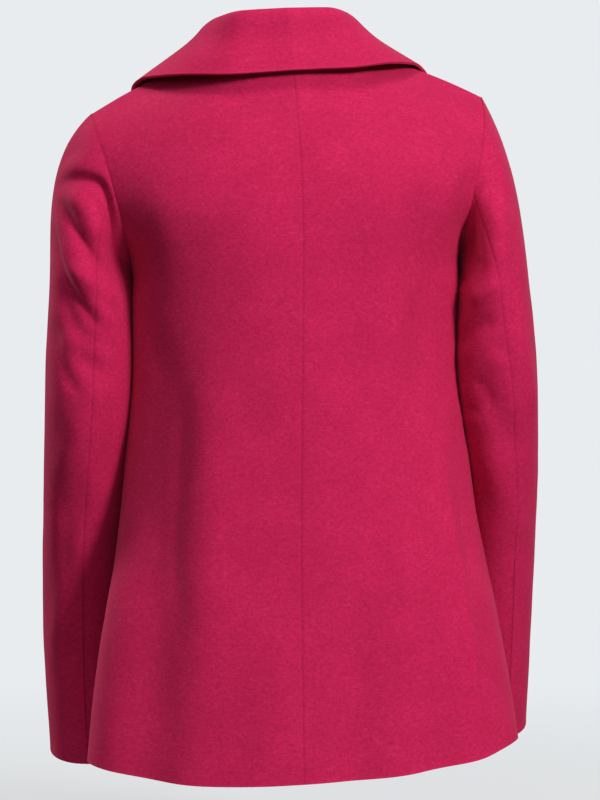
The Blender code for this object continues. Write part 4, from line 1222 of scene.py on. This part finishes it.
def mixed(tree, label, factor, first, second):
    """A mix of two colours."""
    made = node(tree, "ShaderNodeMix", label, data_type="RGBA")
    for index, value in ((MIX_FACTOR, factor), (MIX_FIRST, first), (MIX_SECOND, second)):
        feed(tree, value, made.inputs[index])
    return made.outputs[MIX_RESULT]


def maths(tree, label, operation, first, second):
    """One step of arithmetic."""
    made = node(tree, "ShaderNodeMath", label, operation=operation)
    feed(tree, first, made.inputs[0])
    feed(tree, second, made.inputs[1])
    return made.outputs[0]


def ranged(tree, label, value, low, high, to_low, to_high):
    """A value moved softly from one range to another."""
    made = node(tree, "ShaderNodeMapRange", label, interpolation_type="SMOOTHSTEP")
    tree.links.new(value, made.inputs["Value"])
    settle(made, {"From Min": low, "From Max": high, "To Min": to_low, "To Max": to_high})
    return made.outputs["Result"]


def grain(tree, label, vector, scale, detail, rough, stretch=None):
    """One layer of noise, stretched along the cloth where asked."""
    if stretch is not None:
        turned = node(tree, "ShaderNodeMapping", label + " stretch")
        turned.inputs["Scale"].default_value = stretch
        tree.links.new(vector, turned.inputs["Vector"])
        vector = turned.outputs["Vector"]
    made = node(tree, "ShaderNodeTexNoise", label)
    settle(made, {"Detail": detail, "Roughness": rough})
    feed(tree, scale, made.inputs["Scale"])
    tree.links.new(vector, made.inputs["Vector"])
    return made.outputs["Fac"]


def relief(tree, shader, label, height, strength, distance):
    """Fine relief on the finished surface."""
    bump = node(tree, "ShaderNodeBump", label)
    settle(bump, {"Strength": strength, "Distance": distance})
    tree.links.new(height, bump.inputs["Height"])
    tree.links.new(bump.outputs["Normal"], shader.inputs["Normal"])


def shaded(colour, share, added=0.0):
    """A colour made deeper or paler."""
    return (*(min(value * share + added, 1) for value in colour[:3]), 1.0)


def new_group(name, inputs, outputs):
    """An empty node group with its sockets. Returns it with what it is given and what it gives."""
    group = bpy.data.node_groups.new(name, "ShaderNodeTree")
    for way, sockets in (("INPUT", inputs), ("OUTPUT", outputs)):
        for word, kind, *default in sockets:
            made = group.interface.new_socket(name=word, in_out=way, socket_type="NodeSocket" + kind)
            if default:
                made.default_value = default[0]
    given = node(group, "NodeGroupInput", "given").outputs
    result = node(group, "NodeGroupOutput", "result").inputs
    return group, given, result


def felt_group():
    """Felted wool: a mottle of deep and pale fibres, a fine nap and its height."""
    inputs = (
        ("Vector", "Vector"),
        ("Wool", "Color", (0.455, 0.0135, 0.070, 1)),
        ("Deep Wool", "Color", (0.300, 0.007, 0.039, 1)),
        ("Light Wool", "Color", (0.600, 0.033, 0.125, 1)),
        ("Mottle Scale", "Float", 320.0),
        ("Fibre Scale", "Float", 900.0),
    )
    outputs = (("Colour", "Color"), ("Roughness", "Float"), ("Height", "Float"))
    group, given, result = new_group("felted_fibre", inputs, outputs)
    vector, deep_wool, light_wool = given["Vector"], given["Deep Wool"], given["Light Wool"]
    mottle = grain(group, "mottle", vector, given["Mottle Scale"], 4.0, 0.62)
    broad = grain(group, "broad shade", vector, 26.0, 3.0, 0.5)
    fibre = grain(group, "fibres", vector, given["Fibre Scale"], 3.0, 0.6)
    across = grain(group, "combed nap", vector, 420.0, 3.0, 0.6, (0.42, 0.42, 1.25))
    deep = ranged(group, "deep share", mottle, 0.34, 0.58, 0.60, 0.0)
    light = ranged(group, "light share", across, 0.50, 0.72, 0.0, 0.55)
    speck = ranged(group, "fibre share", fibre, 0.40, 0.70, 0.0, 0.40)
    cloudy = ranged(group, "cloud share", broad, 0.35, 0.70, 0.20, 0.0)
    colour = mixed(group, "deep fibres", deep, given["Wool"], deep_wool)
    colour = mixed(group, "pale fibres", light, colour, light_wool)
    colour = mixed(group, "single fibres", speck, colour, light_wool)
    colour = mixed(group, "broad clouds", cloudy, colour, deep_wool)
    height = maths(group, "mottle height", "MULTIPLY", mottle, 0.45)
    for word, layer, share in (("nap", across, 0.35), ("fibre", fibre, 0.30)):
        part = maths(group, word + " part", "MULTIPLY", layer, share)
        height = maths(group, word + " height", "ADD", height, part)
    rough = ranged(group, "nap gloss", mottle, 0.3, 0.7, 0.86, 0.97)
    for name, value in (("Colour", colour), ("Roughness", rough), ("Height", height)):
        group.links.new(value, result[name])
    return group


def pale_cut_and_seam_shade_group():
    """Where the cloth is cut, folded or sewn: the cut fibres pale, and painted shade darkens the cloth along
    the seams.
    """
    inputs = (
        ("Colour", "Color", (0.5, 0.5, 0.5, 1)),
        ("Pale", "Color", (0.6, 0.6, 0.6, 1)),
        ("Deep", "Color", (0.2, 0.2, 0.2, 1)),
        ("Cut Share", "Float", 0.35),
        ("Seam Share", "Float", 0.35),
        ("Vector", "Vector"),
    )
    group, given, result = new_group("pale_cuts_and_seam_shade", inputs, (("Colour", "Color"),))
    cut, folded, seam = (
        node(group, "ShaderNodeAttribute", name, attribute_name=name).outputs["Fac"]
        for name in ("cut_edge", "folded_edge", "painted_seam_shade")
    )
    ragged = grain(group, "ragged fibres", given["Vector"], 520.0, 3.0, 0.7)
    ragged = ranged(group, "ragged share", ragged, 0.35, 0.65, 0.25, 1.0)
    cut = maths(group, "cut or folded", "MAXIMUM", cut, folded)
    cut = maths(group, "broken up", "MULTIPLY", cut, ragged)
    cut = maths(group, "cut share", "MULTIPLY", cut, given["Cut Share"])
    # painted shade along the seams, mixed towards the deep colour
    seam = maths(group, "seam shade share", "MULTIPLY", seam, given["Seam Share"])
    colour = mixed(group, "pale cut fibres", cut, given["Colour"], given["Pale"])
    colour = mixed(group, "painted seam shade", seam, colour, given["Deep"])
    group.links.new(colour, result["Colour"])
    return group


def material(name, finish, colours):
    """The named material. Its finish makes it the first time it is asked for."""
    made = bpy.data.materials.get(name)
    if made is None:
        made = bpy.data.materials.new(name)
        made.use_nodes = True
        tree = made.node_tree
        place = node(tree, "ShaderNodeTexCoord", "place").outputs["Object"]
        finish(tree, tree.nodes["Principled BSDF"], place, colours)
    return made


def felted_wool(tree, shader, place, colours):
    """Pressed felted wool, read from the coat's own metres."""
    felt, edges = (
        node(tree, "ShaderNodeGroup", group.name, node_tree=group) for group in (felt_group(), pale_cut_and_seam_shade_group())
    )
    settle(felt, {"Wool": colours.wool, "Deep Wool": colours.wool_deep, "Light Wool": colours.wool_light})
    # Deep is the colour of the painted shade along the seams.
    settle(edges, {"Pale": colours.wool_light, "Deep": shaded(colours.wool_deep, 0.70)})
    tree.links.new(place, felt.inputs["Vector"])
    tree.links.new(place, edges.inputs["Vector"])
    tree.links.new(felt.outputs["Colour"], edges.inputs["Colour"])
    tree.links.new(edges.outputs["Colour"], shader.inputs["Base Color"])
    tree.links.new(felt.outputs["Roughness"], shader.inputs["Roughness"])
    relief(tree, shader, "nap relief", felt.outputs["Height"], 0.55, 0.0006)
    settle(
        shader,
        {
            "Specular IOR Level": 0.10,
            "Sheen Weight": 0.07,
            "Sheen Roughness": 0.50,
            "Sheen Tint": (1.0, 0.30, 0.42, 1.0),
        },
    )


def moulded_resin(tree, shader, place, colours):
    """Moulded resin with a faint marbling and handling marks."""
    marble = grain(tree, "marbling", place, 190.0, 4.0, 0.55, (1, 1, 3))
    marble = ranged(tree, "marble share", marble, 0.38, 0.66, 0, 0.6)
    pale = shaded(colours.button, 1.9, 0.01)
    tree.links.new(mixed(tree, "marbled", marble, colours.button, pale), shader.inputs["Base Color"])
    marks = grain(tree, "handling marks", place, 900.0, 4.0, 0.7)
    tree.links.new(ranged(tree, "gloss", marks, 0.35, 0.70, 0.24, 0.42), shader.inputs["Roughness"])
    relief(tree, shader, "fine wear", marks, 0.12, 0.0002)
    settle(shader, {"Coat Weight": 0.25, "Coat Roughness": 0.18})


def twisted_thread(tree, shader, place, colours):
    """Twisted sewing thread."""
    twist = grain(tree, "twist", place, 1500.0, 2.0, 0.5, (1, 1, 0.4))
    share = ranged(tree, "twist share", twist, 0.35, 0.65, 0.0, 1.0)
    plies = mixed(tree, "plies", share, shaded(colours.thread, 0.5), colours.thread)
    tree.links.new(plies, shader.inputs["Base Color"])
    relief(tree, shader, "plies relief", twist, 0.5, 0.0003)
    settle(shader, {"Roughness": 0.6})


# ---- buttons --------------------------------------------------------------------------------
def button_place(tree, x, z, lift, angle, sizes):
    """Where a button sits on the right front, and which way it faces."""
    steps = ((0, 0), (BUTTON_REACH, 0), (0, BUTTON_REACH))
    spots = worn(np.array([laid(tree, x + aside, z + up, lift) for aside, up in steps]), sizes)
    across = Vector(spots[1] - spots[0]).normalized()
    up = Vector(spots[2] - spots[0]).normalized()
    outward = across.cross(up).normalized()
    turn = outward.to_track_quat("Z", "Y").to_matrix().to_4x4()
    return Matrix.Translation(Vector(spots[0])) @ turn @ Matrix.Rotation(angle, 4, "Z")


def tube(shape, points, radius, sides=8):
    """A closed round thread along the points."""
    points = [Vector(point) for point in points]
    face = None
    for i, point in enumerate(points):
        ahead = points[min(i + 1, len(points) - 1)] - points[max(i - 1, 0)]
        turn = ahead.to_track_quat("Z", "Y").to_matrix().to_4x4()
        place = Matrix.Translation(point) @ turn
        if face is None:
            made = bmesh.ops.create_circle(shape, cap_ends=True, segments=sides, radius=radius, matrix=place)
            face = made["verts"][0].link_faces[0]
            continue
        grown = bmesh.ops.extrude_face_region(shape, geom=[face])
        face = next(item for item in grown["geom"] if isinstance(item, bmesh.types.BMFace))
        for k, vert in enumerate(face.verts):
            angle = 2 * math.pi * k / sides
            vert.co = place @ Vector((math.cos(angle) * radius, math.sin(angle) * radius, 0))


def button_mesh(radius):
    """A turned button: dished face, raised rim and rounded edge."""
    shape = bmesh.new()
    verts = [shape.verts.new((radius * r, 0, BUTTON_THICK / 2 * z)) for r, z in BUTTON_PROFILE]
    edges = [shape.edges.new(pair) for pair in zip(verts, verts[1:])]
    bmesh.ops.spin(
        shape,
        geom=verts + edges,
        cent=(0, 0, 0),
        axis=(0, 0, 1),
        angle=2 * math.pi,
        steps=BUTTON_STEPS,
        use_merge=True,
    )
    bmesh.ops.remove_doubles(shape, verts=shape.verts, dist=1e-6)
    return smoothed(shape)


def drilled(piece):
    """Cuts the four thread holes."""
    shape = bmesh.new()
    size = {"radius1": HOLE_RADIUS, "radius2": HOLE_RADIUS, "depth": BUTTON_THICK * 3}
    for x, y in ((1, 1), (1, -1), (-1, -1), (-1, 1)):
        place = Matrix.Translation((x * HOLE_SPREAD / 2, y * HOLE_SPREAD / 2, 0))
        bmesh.ops.create_cone(shape, cap_ends=True, segments=16, matrix=place, **size)
    cutter = object_of("hole_cutter", shape, piece.data.materials[0])
    cut = piece.modifiers.new("holes", "BOOLEAN")
    cut.operation = "DIFFERENCE"
    cut.solver = "EXACT"
    cut.object = cutter
    with bpy.context.temp_override(object=piece, active_object=piece, selected_objects=[piece]):
        bpy.ops.object.modifier_apply(modifier=cut.name)
    bpy.data.objects.remove(cutter, do_unlink=True)
    piece.data.set_sharp_from_angle(angle=math.radians(40))


def thread_mesh():
    """Two strands through each pair of holes, up, over the dished face and down again."""
    shape = bmesh.new()
    under, top = -BUTTON_THICK * 0.45, BUTTON_THICK / 2 * BUTTON_DISH
    for y in (-HOLE_SPREAD / 2, HOLE_SPREAD / 2):
        for aside in (-THREAD_ASIDE, THREAD_ASIDE):
            rising = [
                (-0.0022, y + aside, under),
                (-0.0022, y + aside, top - 0.0002),
                (-0.0019, y + aside, top + 0.0004),
                (-0.0010, y + aside * 1.2, top + 0.0008),
            ]
            falling = [(-x, y_strand, z) for x, y_strand, z in reversed(rising)]
            tube(shape, rising + falling, THREAD_RADIUS)
    return smoothed(shape)


def make_button(name, matrix, sizes, colours):
    """A button in its place, and the thread that holds it."""
    resin = material("button_resin", moulded_resin, colours)
    piece = object_of(name + "_turned", button_mesh(sizes.button_radius), resin)
    drilled(piece)
    piece.data.transform(matrix)
    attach(piece, "root")
    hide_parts(name)
    thread = object_of(name + "_thread", thread_mesh(), material("sewing_thread", twisted_thread, colours))
    thread.data.transform(matrix)
    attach(thread, "root")


def slit_outline(x, z):
    """Round a slit: along its lower lip, round the far end, back, and round the near end."""
    start = x + SLIT_START
    lip = [SLIT_LENGTH * i / (SLIT_POINTS - 1) for i in range(SLIT_POINTS)]
    bends = [math.pi * i / SLIT_BENDS for i in range(1, SLIT_BENDS)]
    ends = [(SLIT_HALF * math.sin(turn), SLIT_HALF * math.cos(turn)) for turn in bends]
    points = [(start - far, z - SLIT_HALF) for far in lip]
    points += [(start - SLIT_LENGTH - out, z - up) for out, up in ends]
    points += [(start - far, z + SLIT_HALF) for far in reversed(lip)]
    points += [(start + out, z + up) for out, up in ends]
    return points


def make_buttonhole(name, tree, x, z, sizes, colours):
    """A worked hole: a close row of stitches round a narrow slit, on the right front."""
    line = [
        laid(tree, across, up, float(layer_lift(-across, up, True)) + SLIT_LIFT)
        for across, up in slit_outline(x, z)
    ]
    line = worn(np.array(line), sizes)
    centre = line.mean(axis=0)
    line = np.concatenate([line, line[:1]])
    run = along(line)
    forwards = Vector((0, -1, 0))
    shape = bmesh.new()
    for k in range(STITCHES):
        shares = (k / STITCHES, min(k / STITCHES + STITCH_AHEAD, 1))
        place, ahead = (np.array([np.interp(at, run, column) for column in line.T]) for at in shares)
        outward = Vector(place - centre)
        outward.y = 0
        aside = Vector(ahead - place).normalized().cross(forwards).normalized()
        aside = aside if aside.dot(outward) > 0 else -aside
        points = [Vector(place) + aside * across + forwards * out for across, out in STITCH]
        tube(shape, points, STITCH_RADIUS, STITCH_SIDES)
    piece = object_of(name, smoothed(shape), material("sewing_thread", twisted_thread, colours))
    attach(piece, "root")


# ---- operators ------------------------------------------------------------------------------
def sheets():
    """The flat forms of back and front, each after the shares up it where its level rows lie."""
    back_run, back = back_sheet()
    front_run, front = front_sheet()
    return back_run, with_normals(back, 1), front_run, with_normals(front, -1)


def dressed(solid, grid, wall, colours, seams, cuts, folded, flat, area, rests_on=()):
    """Makes a cloth piece, hangs it on the root and hides the solid that it stands for."""
    wool = material("felted_wool", felted_wool, colours)
    piece = cloth_piece(solid + "_cloth", grid, wall, wool, seams, cuts, folded)
    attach(piece, "root")
    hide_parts(solid)


class PEACOAT_OT_stage(bpy.types.Operator):
    """Make the pale stage, its soft lights and the camera"""

    bl_idname = "peacoat.stage"
    bl_label = "Stage, Lights and Camera"

    def execute(self, context):
        scene, stage = context.scene, context.scene.coat_stage
        shape = bmesh.new()
        place = Matrix.Translation((0, 0, stage.floor_height))
        bmesh.ops.create_circle(shape, cap_ends=True, segments=96, radius=FLOOR_RADIUS, matrix=place)
        object_of("floor", shape, self.paper(stage.backdrop))
        for name, place, height, size, source, share in LIGHTS:
            self.light(name, Vector(place), Vector((0, 0, height)), size, getattr(stage, source) * share)
        scene.world = self.studio(stage.backdrop)
        scene.view_settings.view_transform = "Standard"

        data = bpy.data.cameras.new("photo_view")
        data.lens = LENS
        data.sensor_width = SENSOR
        data.clip_start = 0.05
        camera = bpy.data.objects.new("photo_view", data)
        camera.location = CAMERA
        camera.rotation_euler = (math.radians(90), 0, math.radians(180))
        scene.collection.objects.link(camera)
        scene.camera = camera
        return {"FINISHED"}

    def studio(self, backdrop):
        """Weak light from all round, with the plain backdrop where the camera looks past the coat."""
        world = bpy.data.worlds.new("soft_studio")
        world.use_nodes = True
        tree = world.node_tree
        soft = tree.nodes["Background"]
        settle(soft, {"Color": SKY_COLOUR, "Strength": SKY_STRENGTH})
        plain_back = node(tree, "ShaderNodeBackground", "plain backdrop")
        settle(plain_back, {"Color": backdrop})
        seen = node(tree, "ShaderNodeLightPath", "what is seen").outputs["Is Camera Ray"]
        both = node(tree, "ShaderNodeMixShader", "backdrop or light")
        for index, value in enumerate((seen, soft.outputs[0], plain_back.outputs[0])):
            tree.links.new(value, both.inputs[index])
        tree.links.new(both.outputs[0], tree.nodes["World Output"].inputs["Surface"])
        return world

    def paper(self, colour):
        """Pale floor paper that fades out into the backdrop."""
        made = bpy.data.materials.new("floor_paper")
        made.use_nodes = True
        tree = made.node_tree
        shader = tree.nodes["Principled BSDF"]
        settle(shader, {"Base Color": FLOOR_COLOUR, "Roughness": 0.95, "Specular IOR Level": 0.1})
        settle(shader, {"Emission Color": colour})
        place = node(tree, "ShaderNodeTexCoord", "place").outputs["Object"]
        flat = node(tree, "ShaderNodeVectorMath", "across the floor", operation="MULTIPLY")
        flat.inputs[1].default_value = (1, 1, 0)
        far = node(tree, "ShaderNodeVectorMath", "distance", operation="LENGTH")
        tree.links.new(place, flat.inputs[0])
        tree.links.new(flat.outputs["Vector"], far.inputs[0])
        fade = ranged(tree, "fade", far.outputs["Value"], *FLOOR_FADE, 1.0, 0.0)
        tree.links.new(fade, shader.inputs["Alpha"])
        seen = node(tree, "ShaderNodeLightPath", "what is seen").outputs["Is Camera Ray"]
        tree.links.new(maths(tree, "glow", "MULTIPLY", seen, FLOOR_GLOW), shader.inputs["Emission Strength"])
        return made

    def light(self, name, place, target, size, power):
        """One round soft light that faces its target."""
        data = bpy.data.lights.new(name, "AREA")
        data.shape = "DISK"
        data.size = size
        data.energy = power
        data.color = LAMP_COLOUR
        lamp = bpy.data.objects.new(name, data)
        lamp.location = place
        lamp.rotation_euler = (target - place).to_track_quat("-Z", "Y").to_euler()
        bpy.context.scene.collection.objects.link(lamp)


class PEACOAT_OT_backs(bpy.types.Operator):
    """Make the two back panels with their centre seam and folds"""

    bl_idname = "peacoat.backs"
    bl_label = "Back Panels"

    def execute(self, context):
        sizes, colours = context.scene.coat_sizes, context.scene.coat_colours
        run, back, _, _ = sheets()
        seams, cuts = ("first", "last", "top"), ("bottom",)
        for side, word in ((1, "left"), (-1, "right")):
            grid = back_grid(side, back, run, sizes)
            cut = ((0.255, 0.740), 0.158)
            dressed(f"back_{word}", grid, sizes.cloth_wall, colours, seams, cuts, None, *cut)
        return {"FINISHED"}


class PEACOAT_OT_fronts(bpy.types.Operator):
    """Make the two fronts, each with its lapel turned back"""

    bl_idname = "peacoat.fronts"
    bl_label = "Fronts and Lapels"

    def execute(self, context):
        sizes, colours = context.scene.coat_sizes, context.scene.coat_colours
        _, _, run, front = sheets()
        tree = front_tree(front)
        at_roll = np.s_[:, FRONT_COLUMNS : FRONT_COLUMNS + 1]
        for side, word in ((1, "left"), (-1, "right")):
            grid = front_grid(side, front, run, tree, sizes)
            far = reach(grid, "first")
            turned = soft_step((grid[at_roll][:, :, 2] - BREAK_Z) / ROLL_WEAR_RISE)
            folded = np.exp(-(((far - far[at_roll]) / ROLL_WEAR_WIDTH) ** 2)) * turned * ROLL_WEAR
            cut = ((0.400, 0.765), 0.230)
            seams, cuts = ("first",), ("bottom", "last")
            dressed(f"front_{word}", grid, sizes.cloth_wall, colours, seams, cuts, folded, *cut)
        return {"FINISHED"}


class PEACOAT_OT_sleeves(bpy.types.Operator):
    """Make the upper and under piece of each sleeve"""

    bl_idname = "peacoat.sleeves"
    bl_label = "Two-Piece Sleeves"

    def execute(self, context):
        sizes, colours = context.scene.coat_sizes, context.scene.coat_colours
        back_run, back, front_run, front = sheets()
        seams, cuts = ("first", "last", "bottom"), ("top",)
        for side, word in ((1, "left"), (-1, "right")):
            loop = armhole(side, back, back_run, front, front_run, sizes)
            elbow = ELBOW_SEAM[side]
            centre = (RINGS[side][2][1], RINGS[side][2][2], 0)
            for part, first, last, columns, flat, area in (
                ("upper", FRONT_SEAM - 360, elbow, UPPER_COLUMNS, (0.265, 0.650), 0.112),
                ("under", elbow, FRONT_SEAM, UNDER_COLUMNS, (0.155, 0.580), 0.067),
            ):
                grid = sleeve_grid(side, loop, first, last, columns, sizes)
                grid = dipped(grid, ("first", "last"), sizes.seam_dip, centre)
                solid = f"{part}_sleeve_{word}"
                dressed(solid, grid, sizes.cloth_wall, colours, seams, cuts, None, flat, area)
        return {"FINISHED"}


class PEACOAT_OT_collar(bpy.types.Operator):
    """Make the turned-down collar"""

    bl_idname = "peacoat.collar"
    bl_label = "Collar"

    def execute(self, context):
        sizes, colours = context.scene.coat_sizes, context.scene.coat_colours
        _, _, _, front = sheets()
        grid = collar_grid(front_tree(front))
        far = reach(grid, "first")
        share = far / far.max(axis=1, keepdims=True)
        folded = np.exp(-(((share - FOLD_PLACE) / FOLD_WIDTH) ** 2)) * FOLD_WEAR
        cuts = ("last", "bottom", "top")
        cut = ((0.525, 0.110), 0.0435)
        under = ("back_left", "back_right")
        dressed("collar", grid, sizes.collar_wall, colours, (), cuts, folded, *cut, under)
        return {"FINISHED"}


class PEACOAT_OT_buttons(bpy.types.Operator):
    """Make the six turned buttons, their threads and the worked buttonholes"""

    bl_idname = "peacoat.buttons"
    bl_label = "Buttons and Buttonholes"

    def execute(self, context):
        sizes, colours = context.scene.coat_sizes, context.scene.coat_colours
        _, _, _, front = sheets()
        tree = front_tree(front)
        for row, z in enumerate(BUTTON_ROWS):
            for word, x in (("outer", BUTTON_X), ("inner", -BUTTON_X)):
                lift = float(layer_lift(-x, z, True)) + sizes.cloth_wall / 2 + BUTTON_GAP + BUTTON_THICK / 2
                turn = math.radians(BUTTON_TURN * row - BUTTON_TURN_START)
                matrix = button_place(tree, x, z, lift, turn, sizes)
                make_button(f"button_{word}_{row + 1}", matrix, sizes, colours)
            make_buttonhole(f"buttonhole_{row + 1}", tree, BUTTON_X, z, sizes, colours)
        return {"FINISHED"}


class PEACOAT_PT_panel(bpy.types.Panel):
    """Lists what the coat is made of"""

    bl_idname = "PEACOAT_PT_panel"
    bl_label = "Pea Coat"
    bl_space_type = "VIEW_3D"
    bl_region_type = "UI"
    bl_category = "Pea Coat"

    def draw(self, context):
        column = self.layout.column()
        for group in (context.scene.coat_sizes, context.scene.coat_colours, context.scene.coat_stage):
            for name in group.bl_rna.properties.keys():
                if name not in ("name", "rna_type"):
                    column.prop(group, name)
        for step in OPERATORS:
            column.operator(step.bl_idname)


GROUPS = {"coat_sizes": CoatSizes, "coat_colours": CoatColours, "coat_stage": StageSettings}
OPERATORS = (
    PEACOAT_OT_stage,
    PEACOAT_OT_backs,
    PEACOAT_OT_fronts,
    PEACOAT_OT_sleeves,
    PEACOAT_OT_collar,
    PEACOAT_OT_buttons,
)
CLASSES = (*GROUPS.values(), *OPERATORS, PEACOAT_PT_panel)


def register():
    """Adds the classes, and the sizes and colours to the scene."""
    for made in CLASSES:
        bpy.utils.register_class(made)
    for name, group in GROUPS.items():
        setattr(bpy.types.Scene, name, bpy.props.PointerProperty(type=group))


def unregister():
    """Takes them away again."""
    for name in GROUPS:
        delattr(bpy.types.Scene, name)
    for made in reversed(CLASSES):
        bpy.utils.unregister_class(made)


def main():
    """Makes the whole coat."""
    register()
    for step in OPERATORS:
        getattr(bpy.ops.peacoat, step.bl_idname.split(".")[1])()


if __name__ == "__main__":
    main()
